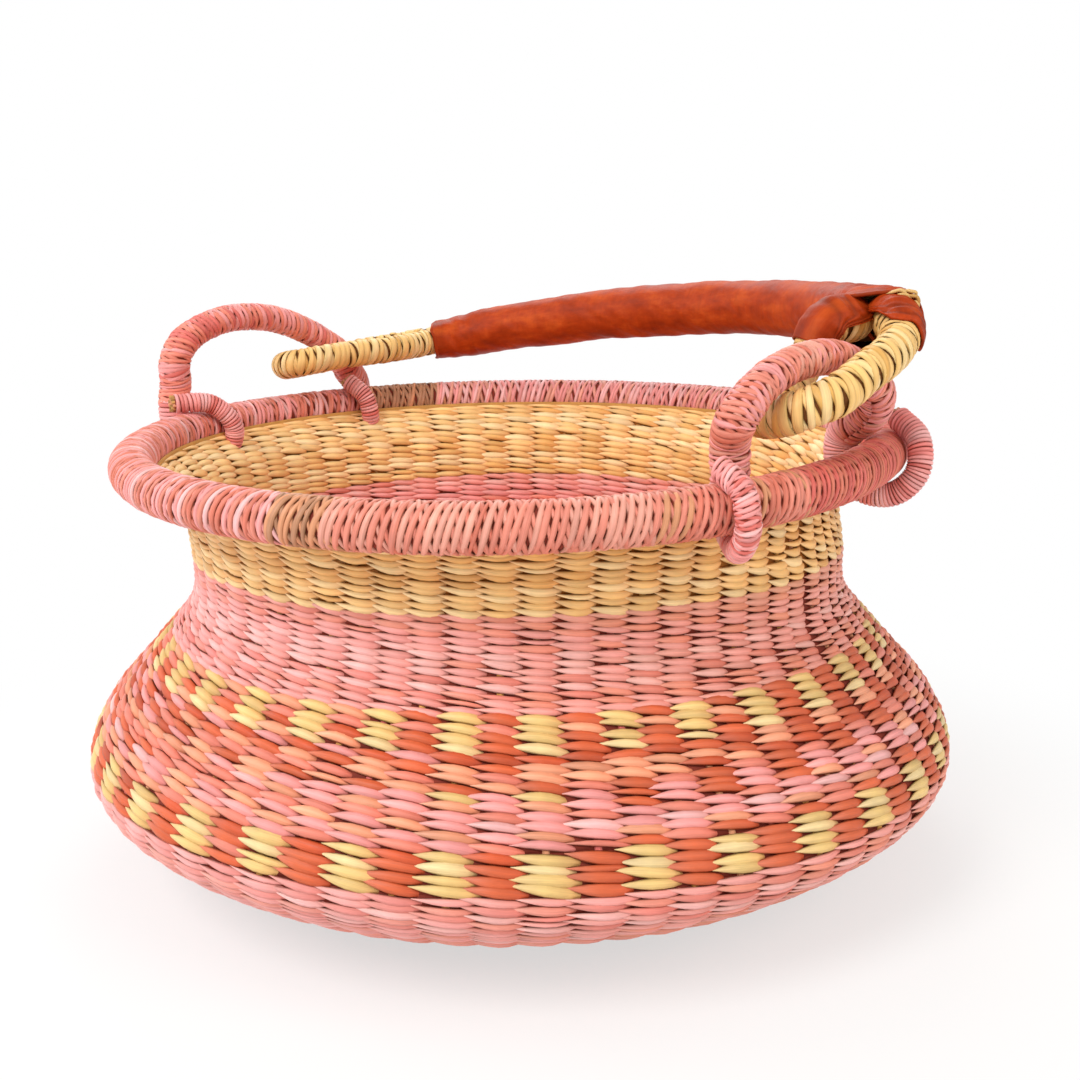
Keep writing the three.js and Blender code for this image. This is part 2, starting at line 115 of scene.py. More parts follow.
def unit(vectors):
    return vectors / np.linalg.norm(vectors, axis=-1, keepdims=True)


def smoothstep(value, low, high):
    t = np.clip((value - low) / (high - low), 0, 1)
    return t * t * (3 - 2 * t)


def curve(start, end, leave, arrive, w):
    """The point at share w of a cubic with these ends and slopes."""
    return (
        (2 * start - 2 * end + leave + arrive) * w ** 3
        + (-3 * start + 3 * end - 2 * leave - arrive) * w ** 2 + leave * w + start
    )


# ---- Surfaces: each turns three coordinates into a place ----
def bump(azimuth, centre, spread):
    turn = np.mod(azimuth - math.radians(centre) + math.pi, TURN) - math.pi
    return np.exp(-((turn / math.radians(spread)) ** 2))


def rim_give(azimuth):
    return [most * bump(azimuth, *where) for most, *where in (DRAWN_IN, LIFTED)]


def outline_table():
    """The wall's outer outline: its length so far, its radius and height, and its normal."""
    seat = (
        RIM_RADIUS + (ROLL + SEAM) * math.cos(RIM_SEAT),
        RIM_HEIGHT + (ROLL + SEAM) * math.sin(RIM_SEAT),
    )
    shares = [(out * BELLY_RADIUS, up * RIM_HEIGHT) for out, up in WALL_SHARES]
    points = np.array([(BASE_RADIUS, 0.0), *shares, seat])
    last = len(points) - 1
    spots = []
    for place in np.linspace(0, 1, 4001) * last:
        i = min(int(place), last - 1)
        before, start, end = points[max(i - 1, 0)], points[i], points[i + 1]
        after = points[min(i + 2, last)]
        spots.append(curve(start, end, (end - before) / 2, (after - start) / 2, place - i))
    spots = np.array(spots)
    arc = np.concatenate([[0], np.cumsum(np.hypot(*np.diff(spots, axis=0).T))])
    tangent = unit(np.gradient(spots, arc, axis=0))
    return arc, spots[:, 0], spots[:, 1], tangent[:, 1], -tangent[:, 0]


ARC, ARC_R, ARC_Z, ARC_NR, ARC_NZ = outline_table()
WALL_LENGTH = float(ARC[-1])


def row_rise(azimuth, arc):
    """How far the rows climb at the front, where they are packed more tightly to the rim."""
    most, centre, spread = 3.0, -46, 46
    share = arc / WALL_LENGTH
    way = smoothstep(share, 0.15, 0.42) * (1 - smoothstep(share, 0.8, 0.99))
    return most * bump(azimuth, centre, spread) * way


def wall_place(azimuth, arc, out):
    """A point on the wall: its azimuth, its way up the outline and its distance outwards."""
    below = np.minimum(arc, 0)
    arc = arc + row_rise(azimuth, arc)
    height = np.interp(arc, ARC, ARC_Z)
    radius = np.interp(arc, ARC, ARC_R) + np.interp(arc, ARC, ARC_NR) * out + below
    give_out, give_up = rim_give(azimuth)
    share = smoothstep(height, WAIST, NECK_TOP)
    radius = radius + give_out * share
    z = height + np.interp(arc, ARC, ARC_NZ) * out + give_up * share
    return joined(radius * np.cos(azimuth), radius * np.sin(azimuth), z)


def rim_place(azimuth, angle, distance):
    """A point beside the rim roll: its azimuth, its angle round the roll and its distance
    from the roll's middle."""
    give_out, give_up = rim_give(azimuth)
    radius = RIM_RADIUS + give_out + distance * np.cos(angle)
    z = RIM_HEIGHT + give_up + distance * np.sin(angle)
    return joined(radius * np.cos(azimuth), radius * np.sin(azimuth), z)


def base_place(azimuth, radius, height):
    return joined(radius * np.cos(azimuth), radius * np.sin(azimuth), height)


class Path:
    """A smooth line through points, with frames along it that don't twist."""

    STEPS = 40  # spots from one knot to the next
    SMOOTHING = 15  # spots that the bend is averaged over
    SHARPEST = 0.11  # the most bend that counts, per millimetre
    OUTSIDE = 8.5  # how far outside the line the strands are spread evenly

    def __init__(self, points, lift):
        points = np.array(points, float)
        first, last = 2 * points[0] - points[1], 2 * points[-1] - points[-2]
        padded = np.vstack([first, points, last])
        self.knots = len(points) - 1
        spots, shares = [], []
        for i in range(self.knots):
            p0, p1, p2, p3 = padded[i:i + 4]
            d0, d1, d2 = (
                max(np.linalg.norm(b - a) ** 0.5, 1e-4)
                for a, b in ((p0, p1), (p1, p2), (p2, p3))
            )
            t1 = ((p1 - p0) / d0 - (p2 - p0) / (d0 + d1) + (p2 - p1) / d1) * d1
            t2 = ((p2 - p1) / d1 - (p3 - p1) / (d1 + d2) + (p3 - p2) / d2) * d1
            for w in np.linspace(0, 1, self.STEPS, endpoint=i == self.knots - 1):
                spots.append(curve(p1, p2, t1, t2, w))
                shares.append((i + w) / self.knots)
        self.spots = np.array(spots)
        self.shares = np.array(shares)
        step = np.linalg.norm(np.diff(self.spots, axis=0), axis=1)
        self.arc = np.concatenate([[0], np.cumsum(step)])
        self.length = float(self.arc[-1])
        self.tangent = unit(np.gradient(self.spots, self.arc, axis=0))
        lifts, current = [], np.array(lift, float)
        for direction in self.tangent:
            current = unit(current - direction * current.dot(direction))
            lifts.append(current)
        self.lift = np.array(lifts)
        self.across = np.cross(self.lift, self.tangent)
        bend = np.linalg.norm(np.gradient(self.tangent, self.arc, axis=0), axis=1)
        window = np.ones(self.SMOOTHING) / self.SMOOTHING
        bend = np.minimum(np.convolve(bend, window, mode="same"), self.SHARPEST)
        self.fan = 1 + self.OUTSIDE * bend
        fans = (self.fan[1:] + self.fan[:-1]) / 2
        self.outer = np.concatenate([[0], np.cumsum(fans * step)])

    def even(self, start, end, share):
        """Places between start and end that are spread evenly on the outside of the bends."""
        low, high = np.interp([start, end], self.arc, self.outer)
        return np.interp(low + (high - low) * share, self.outer, self.arc)

    def turns(self, start, end, spacing):
        """How many strands fit between start and end on the outside of the bends."""
        low, high = np.interp([start, end], self.arc, self.outer)
        return int(round((high - low) / spacing))

    def narrow(self, arc):
        """How much narrower a strand is on the line than on the outside of the bend."""
        return 1 / np.interp(arc, self.arc, self.fan)

    def read(self, table, arc):
        arc = np.asarray(arc, float)
        return np.stack([np.interp(arc, self.arc, table[:, k]) for k in range(3)], -1)

    def share(self, arc):
        return np.interp(arc, self.arc, self.shares)

    def past(self, arc):
        """What runs on straight, where arc lies beyond an end."""
        over = np.asarray(arc, float) - np.clip(arc, 0, self.length)
        return self.read(self.tangent, arc) * over[..., None]

    def beside(self, arc, across, lift):
        return (
            self.read(self.spots, arc)
            + self.read(self.across, arc) * across[..., None]
            + self.read(self.lift, arc) * lift[..., None]
        )

    def place(self, arc, angle, distance):
        spots = self.beside(arc, distance * np.cos(angle), distance * np.sin(angle))
        return spots + self.past(arc)


# ---- Meshes ----
def make_object(name, points, faces, tint, grain, material):
    """A mesh object from points in millimetres, blocks of faces with as many sides each, a
    tint for all or for each point, and each point's place in the grain."""
    points = np.asarray(points, float).reshape(-1, 3)
    volume = 0.0
    for block in faces:
        a = points[block[:, 0]]
        for k in range(1, block.shape[1] - 1):
            b, c = points[block[:, k]], points[block[:, k + 1]]
            volume += float(np.einsum("ij,ij->i", a, np.cross(b, c)).sum())
    if volume < 0:
        faces = [block[:, ::-1] for block in faces]
    mesh = bpy.data.meshes.new(name)
    sizes = np.concatenate([np.full(len(block), block.shape[1]) for block in faces])
    corners = np.concatenate([block.ravel() for block in faces])
    starts = np.concatenate([[0], np.cumsum(sizes)[:-1]])
    mesh.vertices.add(len(points))
    mesh.vertices.foreach_set("co", (points * METRE).astype(np.float32).ravel())
    mesh.loops.add(len(corners))
    mesh.loops.foreach_set("vertex_index", corners.astype(np.int32))
    mesh.polygons.add(len(sizes))
    mesh.polygons.foreach_set("loop_start", starts.astype(np.int32))
    mesh.polygons.foreach_set("use_smooth", np.full(len(sizes), True))
    mesh.update(calc_edges=True)
    tint = np.broadcast_to(np.asarray(tint, float).reshape(-1, 3), (len(points), 3))
    rgba = np.concatenate([tint, np.ones((len(points), 1))], 1).astype(np.float32)
    colour = mesh.attributes.new("tint", "FLOAT_COLOR", "POINT")
    colour.data.foreach_set("color", rgba.ravel())
    lines = mesh.attributes.new("grain", "FLOAT_VECTOR", "POINT")
    lines.data.foreach_set("vector", np.asarray(grain, np.float32).ravel())
    if mesh.validate():
        raise RuntimeError(name + " has bad faces")
    mesh.materials.append(material)
    return linked(name, mesh)


def linked(name, data):
    piece = bpy.data.objects.new(name, data)
    bpy.context.scene.collection.objects.link(piece)
    return piece


def loft(grid, closed):
    """Faces over a grid of points that is closed across its rows. Down the grid it is closed
    too, or else capped at both ends."""
    rings, sides = grid.shape[:2]
    index = np.arange(rings * sides).reshape(rings, sides)
    ahead = np.roll(index, -1, axis=0)
    quads = np.stack([index, np.roll(index, -1, axis=1), np.roll(ahead, -1, axis=1), ahead], -1)
    if closed:
        return [quads.reshape(-1, 4)]
    return [quads[:-1].reshape(-1, 4), np.stack([index[0, ::-1], index[-1]])]


def sheet(name, place, first, second, out, closed, tint, lines):
    """A surface of core grass over two lists of coordinates, for the gaps between strands.
    lines is how long the two are in the grain."""
    a, b = grid_of(first, second)
    grid = place(a, b, out)
    grain = joined(a * lines[0], b * lines[1], 0.0)
    return make_object(name, grid, loft(grid, closed), tint, grain, inner_grass)


class Ribbons:
    """Strips of grass, gathered into one mesh."""

    CROWNED = (np.array([-1, -0.7, 0, 0.7, 1.0]), np.array([0, 0.72, 1, 0.72, 0]))
    EDGE_SHADE_PER_CHANNEL = np.array([1, 1, 1.25])  # painted shade: how much red, green and blue darken at the edges
    APART = 7.31  # how far apart two strips lie in the grain

    def __init__(self):
        self.batches = []  # of points, faces, caps, tints and grains
        self.count = self.strips = 0

    def add(self, place, a, b, out, half, thick, side, tint, section=None, edge_shade=0.28):
        """Rows of a, b and out give each strip's middle line, and half and thick its width and
        height. side is how a and b change across it per millimetre. A strip is crowned, and its
        edges are darkened by edge as a painted shade, unless it has a section of its own."""
        xs, ys = section or self.CROWNED
        edge_shading = np.zeros((len(xs), 1)) if section else self.EDGE_SHADE_PER_CHANNEL * xs[:, None] ** 2
        a, b, out, half, thick = np.broadcast_arrays(a, b, out, half, thick)
        across = half[..., None] * xs
        grid_a, grid_b = (
            line[..., None] + np.asarray(change)[..., None] * across
            for line, change in zip((a, b), side)
        )
        points = place(grid_a, grid_b, out[..., None] + thick[..., None] * ys)
        strips, steps, sides = grid_a.shape
        index = self.count + np.arange(strips * steps * sides).reshape(strips, steps, sides)
        nxt = np.roll(index, -1, axis=2)
        quads = np.stack([index[:, :-1], nxt[:, :-1], nxt[:, 1:], index[:, 1:]], -1)
        step = np.linalg.norm(np.diff(points[:, :, len(xs) // 2], axis=1), axis=2)
        way = np.concatenate([np.zeros((strips, 1)), np.cumsum(step, 1)], 1)
        number = (self.strips + np.arange(strips))[:, None, None] * self.APART
        tint = np.broadcast_to(np.asarray(tint, float), (strips, steps, 3))
        self.batches.append((
            points.reshape(-1, 3), quads.reshape(-1, 4),
            np.concatenate([index[:, 0, ::-1], index[:, -1]]),
            # Each strip's edges are darkened here by painted shade.
            (tint[:, :, None] * (1 - edge_shade * edge_shading)).reshape(-1, 3),
            joined(way[..., None], across, number).reshape(-1, 3),
        ))
        self.count += index.size
        self.strips += strips

    def build(self, name, material):
        points, faces, caps, tints, grains = map(np.concatenate, zip(*self.batches))
        return make_object(name, points, [faces, caps], tints, grains, material)


# ---- Materials ----
class Nodes:
    """A node tree that is filled in by name: a socket takes a value or another node's output."""

    def __init__(self, owner):
        owner.use_nodes = True
        self.tree = owner.node_tree

    def fill(self, node, sockets):
        for key, value in sockets.items():
            if isinstance(value, bpy.types.NodeSocket):
                self.tree.links.new(value, node.inputs[key])
            else:
                node.inputs[key].default_value = value

    def add(self, kind, output, sockets, **settings):
        node = self.tree.nodes.new("ShaderNode" + kind)
        for key, value in settings.items():
            setattr(node, key, value)
        self.fill(node, sockets)
        return node.outputs[output]

    def unless_seen(self, lit, seen, share=None):
        """One shader for the light that bounces, and another for the camera's own rays."""
        rays = self.add("LightPath", "Is Camera Ray", {})
        if share is not None:
            rays = self.add("Math", "Value", {0: rays, 1: share}, operation="MULTIPLY")
        return self.add("MixShader", "Shader", {"Fac": rays, 1: lit, 2: seen})


class Surface(Nodes):
    """A material whose colour starts from the mesh's tint and whose pattern lies in its grain."""

    def __init__(self, name):
        self.material = bpy.data.materials.new(name)
        super().__init__(self.material)
        self.tint = self.add("Attribute", "Color", {}, attribute_name="tint")
        self.grain = self.add("Attribute", "Vector", {}, attribute_name="grain")

    def noisy(self, scale, detail, roughness=0.5):
        spot = self.add("Mapping", "Vector", {"Vector": self.grain, "Scale": scale})
        sockets = {"Vector": spot, "Scale": 1, "Detail": detail, "Roughness": roughness}
        return self.add("TexNoise", "Fac", sockets)

    def ranged(self, source, low, high):
        sockets = {"From Min": 0.3, "From Max": 0.7, "To Min": low, "To Max": high}
        return self.add("MapRange", "Result", {"Value": source, **sockets})

    def scaled(self, colour, value):
        return self.add("VectorMath", "Vector", {0: colour, "Scale": value}, operation="SCALE")

    def finish(self, colour, roughness, shine, height, strength, depth):
        sockets = {"Height": height, "Strength": strength, "Distance": depth}
        relief = self.add("Bump", "Normal", sockets)
        self.fill(self.tree.nodes["Principled BSDF"], {
            "Base Color": colour, "Roughness": roughness, "Specular IOR Level": shine,
            "Normal": relief,
        })
        return self.material


def grass(name, roughness, fibres, dye, shine=0.35):
    """Grass whose fibres run along each strip. fibres and dye are how much they vary its tint."""
    surface = Surface(name)
    fine = surface.noisy((0.05, 3.2, 1), 3)
    broad = surface.noisy((0.11, 0.35, 1), 2)
    colour = surface.scaled(surface.tint, surface.ranged(fine, 1 - fibres, 1 + fibres))
    colour = surface.scaled(colour, surface.ranged(broad, 1 - dye, 1 + dye))
    worn = surface.ranged(fine, roughness - 0.08, roughness + 0.12)
    return surface.finish(colour, worn, shine, fine, 0.35, 0.0004)


def leather_material():
    surface = Surface("rust_leather_grain")
    mottle = surface.noisy((0.045, 0.11, 0.1), 5, 0.62)
    crease = surface.noisy((0.3, 0.09, 0.1), 4, 0.62)
    pores = surface.noisy((1.6, 1.6, 1.6), 4, 0.62)
    dye = surface.add("ValToRGB", "Color", {"Fac": mottle})
    stops = dye.node.color_ramp.elements
    stops[0].position, stops[1].position = 0.3, 0.7
    stops.new(0.5)
    for stop, code in zip(stops, ("#8e2c08", "#ad3b0c", "#c6521a")):
        stop.color = (*linear(code), 1)
    # The colour follows the crease relief, darker where the bump sinks: a painted shade in the
    # creases.
    colour = surface.add("VectorMath", "Vector", {
        0: surface.scaled(dye, surface.ranged(crease, 0.9, 1.08)), 1: surface.tint,
    }, operation="MULTIPLY")
    height = surface.add(
        "Math", "Value", {0: crease, 1: surface.ranged(pores, 0, 0.22)}, operation="ADD")
    return surface.finish(colour, surface.ranged(mottle, 0.4, 0.54), 0.14, height, 0.4, 0.0007)


weft = grass("weft_grass", 0.46, 0.10, 0.07)
wrap = grass("wrap_grass", 0.44, 0.12, 0.09)
blade_grass = grass("blade_grass", 0.42, 0.10, 0.06)
inner_grass = grass("core_grass", 0.7, 0.22, 0.12, 0.2)
leather = leather_material()


# ---- Colours of the weave ----
def blend_of(names, weights, shape, spread=0.06):
    """Colours drawn from a list, each a little lighter or darker."""
    bank = np.array([PAINT[name] for name in names])
    pick = rng.choice(len(names), size=shape, p=np.array(weights) / sum(weights))
    return bank[pick] * varied(spread, shape)[..., None]


def strand_runs(rows, names, weights, shortest, longest, spread):
    """Colours of the two strands twined along each row: they take turns over the stakes, and
    a used-up one is followed by another."""
    bank = np.array([PAINT[name] for name in names])
    odds = np.array(weights) / sum(weights)
    tint = np.zeros((rows, STAKES, 3))
    for row in range(rows):
        for strand in (0, 1):
            spots = np.roll(np.arange(strand, STAKES, 2), rng.integers(STAKES))
            first = 0
            while first < len(spots):
                length = int(rng.integers(shortest, longest))
                colour = bank[rng.choice(len(bank), p=odds)] * varied(spread)
                tint[row, spots[first:first + length]] = colour
                first += length
    return tint * varied(0.045, (rows, STAKES, 1))


def drifting(rows):
    """Values from -1 to 1 that drift along each row, as the dye does along a strand."""
    waves = np.zeros((rows, STAKES))
    for k in range(1, 14):
        amount = rng.standard_normal((rows, 1)) / k ** 0.5
        waves += amount * np.sin(k * circle(STAKES) + rng.uniform(0, 6.28, (rows, 1)))
    return waves / np.abs(waves).max()


def facing(azimuth):
    """From 0 to 1, how far each stake faces an azimuth in degrees."""
    turn = FIRST_STAKE + np.arange(STAKES) * STAKE_STEP - math.radians(azimuth)
    return (0.5 + 0.5 * np.cos(turn))[None, :, None] ** 2


def mixed(tint, name, share):
    return tint * (1 - share) + PAINT[name] * share


def band_colours(band, rows):
    light = drifting(rows)[..., None]
    heights = np.linspace(0, 1, rows)[:, None, None]
    # right and left say how far each stake faces the warm lamp on the right and the cool lamp on
    # the left. Stakes facing left are painted paler, a painted highlight; stakes facing right are
    # painted towards tan, a painted warm light.
    right, left = facing(-5), facing(-125)
    if band == "neck_band":
        names = ["natural", "natural_light", "natural_deep"]
        tint = strand_runs(rows, names, [6, 3, 2], 6, 20, 0.04)
        return mixed(tint, "natural_light", 0.4 * left) * (1 + 0.05 * light)
    if band == "shoulder_band":
        names = ["pink", "pink_light", "salmon", "pink_deep"]
        tint = strand_runs(rows, names, [7, 2, 2, 1], 8, 30, 0.03)
        # warm: tan from the dye's drift, from the top rows, and from painted warm light on the
        # right; the left's painted highlight holds it back.
        warm = np.clip(light * 1.2, 0, 1) * 0.25 + 0.35 * right
        warm = (warm + 0.35 * smoothstep(heights, 0.8, 1)) * (1 - 0.7 * left)
        return mixed(mixed(tint, "pink_light", 0.35 * left), "tan", warm)
    if band in ("upper_check_band", "lower_check_band"):
        names = ["orange", "orange_deep", "salmon", "peach"]
        tint = strand_runs(rows, names, [6, 2, 2, 0.7], 2, 9, 0.06)
        pale = strand_runs(rows, ["yellow", "yellow_light"], [3, 1], 5, 20, 0.03)
        return np.where((np.arange(STAKES) % 2 == 0)[None, :, None], pale, tint)
    if band == "middle_band":
        names = ["orange", "peach", "pink", "pink_light", "salmon", "orange_deep", "yellow"]
        parts = []
        for heat in np.linspace(0, 1, rows):
            weights = [
                1.2 + 4 * heat, 2.2, 4 - 2.5 * heat, 2.2 - 1.5 * heat, 2, 0.4 + 1.2 * heat, 0.15]
            parts.append(strand_runs(1, names, weights, 2, 10, 0.06))
        return np.concatenate(parts) * 0.97
    names = ["salmon", "pink", "pink_light", "pink_deep"]
    tint = strand_runs(rows, names, [5, 4, 1.5, 1.5], 8, 30, 0.04)
    low = np.clip(1 - heights / 0.75, 0, 1) * 0.55
    # warm: tan from the dye's drift, the lowest rows' own tan, and painted warm light on the
    # right; the left's painted highlight holds it back.
    warm = np.clip(np.clip(light, 0, 1) * 0.3 + 0.2 * right + low, 0, 0.85)
    return mixed(mixed(tint, "pink_light", 0.6 * left), "tan", warm * (1 - 0.6 * left))


# ---- The wall ----
# One stitch from its left tip (-1) to its right end (1), seen from its own side of the wall.
ALONG = np.array([-1, -0.87, -0.66, -0.38, -0.05, 0.28, 0.6, 0.86, 1])
STITCH_REACH = 0.72  # half its length, in stakes
TIP_DROP, TUCK_DROP = 0.45, 2.7  # how deep its ends go
# Painted highlight on each stitch's left tip, towards a whitish tone, and painted shade on its
# right end where it tucks under.
TIP_HIGHLIGHT_COLOUR = np.array([1.0, 0.86, 0.78])
TUCK_SHADE_COLOUR = np.array([0.84, 0.60, 0.52])
CORE_OUT, CORE_IN = -2.3, -3.1  # the two faces of the wall's dark inside
stake_drift = drift(0.05, STAKES)


def weave(name, start, end, rows, tint, outside, loose, bow):
    """One band's stitches on one side of the wall. Each covers one stake: its pointed left tip
    lies over the stitches before it and its right end tucks under the tips that follow."""
    strips = Ribbons()
    v = ALONG[None]
    each = (STAKES, 1)
    tip, tuck = np.clip(-v, 0, 1), np.clip(v, 0, 1)
    taper = np.clip(1 - tip ** 1.5, 0, 1) ** 0.95 * np.clip(1 - tuck ** 4, 0, 1) ** 0.5
    drop = (
        TIP_DROP * (1 - np.cos(tip * math.pi / 2)) + TUCK_DROP * (1 - np.cos(tuck * math.pi / 2))
    )
    # How much painted highlight the tip gets and how much painted shade the tucked end gets.
    highlight_share = (0.2 * tip ** 1.1)[..., None]
    shade_share = (tuck ** 1.2)[..., None]
    hand, flat, shift = (1, 1, 0) if outside else (-1, 0.4, 0.5)
    pitch = (end - start) * WALL_LENGTH / rows
    for row in range(rows):
        middle = FIRST_STAKE + (np.arange(STAKES) + shift + stake_drift) * STAKE_STEP
        middle = middle + drift(0.03 * STAKE_STEP, STAKES)
        azimuth = middle[:, None] + hand * STITCH_REACH * STAKE_STEP * varied(0.05, each) * v
        slant = 0.36 * pitch * varied(0.25, each)
        sag = pitch * (bow + drift(0.08, each))
        jitter = drift(0.06 * pitch, each)
        arc = start * WALL_LENGTH + (row + 0.5) * pitch + jitter - slant * v + sag * (1 - v ** 2)
        width = 0.62 * pitch * varied(0.08, each)
        parted = np.where(rng.uniform(size=each) < loose, 0.6, 1.0)
        half = np.maximum(width * parted * taper, 0.22)
        thick = 0.3 + 0.3 * pitch * taper * varied(0.1, each)
        out = -0.9 - drop * flat * varied(0.12, each)
        if not outside:
            out = -WALL - out
        base = tint[row][:, None, :]
        # The tip's painted highlight and the tucked end's painted shade.
        pale = TIP_HIGHLIGHT_COLOUR * base.mean(axis=-1, keepdims=True) ** 0.4
        colour = base * (1 - highlight_share) + pale * highlight_share
        colour = colour * (1 - shade_share * (1 - TUCK_SHADE_COLOUR))
        strips.add(
            wall_place, azimuth, arc, out, half, hand * thick, (0.0, 1.0), colour, edge_shade=0.3)
    return strips.build(name, weft)


def wall_core(name, start, end, tint):
    """The inside of the wall between its two faces of stitches, in a dark colour that is painted
    shade, seen where the stitches part.
    """
    low, high = start * WALL_LENGTH, end * WALL_LENGTH
    arcs = np.linspace(low, high, max(3, int((high - low) / 4)))
    out = np.repeat([CORE_OUT, CORE_IN], len(arcs))
    return sheet(
        name, wall_place, circle(240), [*arcs, *arcs[::-1]], out, True, tint, (180, 1))


def stakes():
    """The upright stakes, one for each column of stitches, seen only where two rows part."""
    strips = Ribbons()
    azimuth = FIRST_STAKE + (np.arange(STAKES) + stake_drift) * STAKE_STEP
    azimuth, arc = grid_of(azimuth, np.linspace(2, WALL_LENGTH - 3, 60))
    side = (1 / np.interp(arc, ARC, ARC_R), 0.0)
    tint = blend_of(["natural_deep", "tan", "pink_deep"], [2, 2, 1], (STAKES, 1), 0.04)
    turn = circle(8)[::-1]
    strips.add(
        wall_place, azimuth, arc, CORE_OUT, 1.6, 0.9, side, tint, (np.cos(turn), np.sin(turn)))
    return strips.build("wall_stakes", inner_grass)


def dress(piece, body, slot, *nodes):
    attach(piece, body)
    if nodes:
        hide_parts(*nodes)


# From and to, as shares of the outline; rows; bow, which is how far the middle of a stitch
# stands above its ends, as a share of the row; slot.
BANDS = {
    "foot_band": (0.0, 0.42, 33, -0.16, "salmon_grass"),
    "lower_check_band": (0.42, 0.482, 4, 0.04, "orange_grass"),
    "middle_band": (0.482, 0.628, 10, 0.14, "peach_grass"),
    "upper_check_band": (0.628, 0.69, 4, 0.2, "orange_grass"),
    "shoulder_band": (0.69, 0.842, 13, -0.08, "pink_grass"),
    "neck_band": (0.842, 1.0, 13, -0.36, "natural_grass"),
}
for band, (start, end, rows, bow, slot_name) in BANDS.items():
    tints = band_colours(band, rows)
    # The wall's inside takes a dark colour, a painted shade for the gaps between the stitches.
    loose, lit, gap = 0.04, [1.19, 1.17, 1.17], "gap"
    if band == "neck_band":
        loose, lit, gap = 0.02, [1.12, 1.2, 1.28], "gap_straw"
    outside = weave(band + "_outside", start, end, rows, tints, True, loose, bow)
    dress(outside, "basket", slot_name, band)
    inside = weave(band + "_inside", start, end, rows, tints * np.array(lit), False, 0.01, 0.05)
    dress(inside, "basket", slot_name)
    dress(wall_core(band + "_inner_wall", start, end, PAINT[gap]), "basket", slot_name)
dress(stakes(), "basket", "natural_grass")


# ---- The base ----
BASE_ROWS = 31
HUB_ROWS = 5  # undyed, at the middle
HUB_RADIUS = 1.2
BASE_CORE = [(0.5, 2.6), (60, 2.6), (120, 2.6), (126, 2.8), (126.5, 3.4), (60, 3.5), (0.5, 3.5)]


def base_stitches(name, underside):
    strips = Ribbons()
    pitch = (BASE_RADIUS - 2.0) / BASE_ROWS
    u = np.linspace(-1, 1, 7)
    taper = np.clip(1 - np.abs(u) ** 2.3, 0, 1) ** 0.62
    half = np.maximum(0.56 * pitch * taper, 0.25)
    thick = 0.3 + 0.9 * taper
    lift = 1.1 * np.cos(u * math.pi / 2 * 0.96)
    shade = (1.05 - 0.1 * np.abs(u) ** 3)[None, :, None]
    out, sign = (3.2 - lift, -1) if underside else (BASE_THICKNESS - 2.0 + lift, 1)
    for row in range(BASE_ROWS):
        radius = HUB_RADIUS + (row + 0.5) * pitch
        columns = STAKES if radius > 82 else 34 if radius > 40 else 17 if radius > 18 else 9
        step = TURN / columns
        middle = FIRST_STAKE + (np.arange(columns) + (0.5 if row % 2 else 0)) * step
        azimuth = middle[:, None] + 0.63 * step * u
        way = radius + 0.3 * pitch * u + drift(0.06 * pitch, (columns, 1))
        tint = blend_of(["salmon", "pink", "tan", "pink_deep"], [4, 3, 3, 1], columns, 0.06)
        if row < HUB_ROWS:
            tint = blend_of(["natural", "tan"], [3, 2], columns, 0.05)
        strips.add(
            base_place, azimuth, way, out, half, sign * thick, (0.0, 1.0),
            tint[:, None, :] * shade,
        )
    return strips.build(name, weft)


def base_core():
    azimuth, radius = grid_of(circle(96), [radius for radius, _ in BASE_CORE])
    grid = base_place(azimuth, radius, np.array([height for _, height in BASE_CORE]))
    # Painted the dark gap colour, a painted shade for the hollows between the base's stitches.
    return make_object(
        "base_inner_layer", grid, loft(grid, True), PAINT["gap"], grid, inner_grass)


dress(base_stitches("base_underside", True), "basket", "salmon_grass", "base_disc")
dress(base_stitches("base_top_face", False), "basket", "salmon_grass")
dress(base_core(), "basket", "salmon_grass")


# ---- The rim ----
RIM_RUNS = {
    "rim_wrap_front": (-67.5, -30, "pink_grass", ["rim_pink", "rim_light", "rim_deep"], [7, 3, 1]),
    "rim_wrap_front_right": (
        -30, -7.5, "peach_grass", ["rim_pink", "rim_deep", "tan"], [4, 2, 1.5]),
    "rim_wrap_right": (-7.5, 60, "salmon_grass", ["pink_deep", "rose", "rim_deep"], [1, 2, 3]),
    "rim_wrap_back": (60, 150, "pink_grass", ["pink", "pink_light", "rim_light"], [4, 2, 2]),
    "rim_wrap_back_left": (150, 165, "brown_grass", ["brown", "tan"], [4, 1]),
    "rim_wrap_left": (
        165, 285, "pink_grass", ["pink", "rim_pink", "pink_light", "rim_deep"], [4, 3, 1, 2]),
    "rim_wrap_front_left": (285, 292.5, "tan_grass", ["tan", "brown"], [3, 1]),
}
RIM_SPACING = 3.45


def rim_core():
    angle = circle(24)
    # The roll's core is painted the dark gap colour, a painted shade between the strands.
    return sheet(
        "rim_core_roll", rim_place, circle(240), angle, 9.5 + 0.1 * np.cos(angle * 9), True,
        PAINT["gap"], (RIM_RADIUS, ROLL),
    )


def rim_packing():
    """Grass packed between the top of the wall and the roll."""
    def place(azimuth, angle, out):
        arc = WALL_LENGTH + 0.1 + 2.6 * np.sin(angle)
        grid = wall_place(azimuth, np.minimum(arc, WALL_LENGTH), out + 1.9 * np.cos(angle))
        grid[..., 2] += np.maximum(arc - WALL_LENGTH, 0)
        return grid

    # Darkened to 0.7, a painted shade, as it shows only in slivers between wall and roll.
    tint = PAINT["natural_deep"] * 0.7
    return sheet("rim_packing", place, circle(240), circle(16), -2.6, True, tint, (RIM_RADIUS, 2))


def leaning(tilt, radius, along=1.0):
    """How a strip's two coordinates change across it, per millimetre, when it goes once round
    a tube and moves on by tilt. along turns millimetres into the first coordinate."""
    slope = tilt / (TURN * radius)
    norm = np.sqrt(1 + slope ** 2)
    return 1 / norm / along, -(slope / norm) / radius


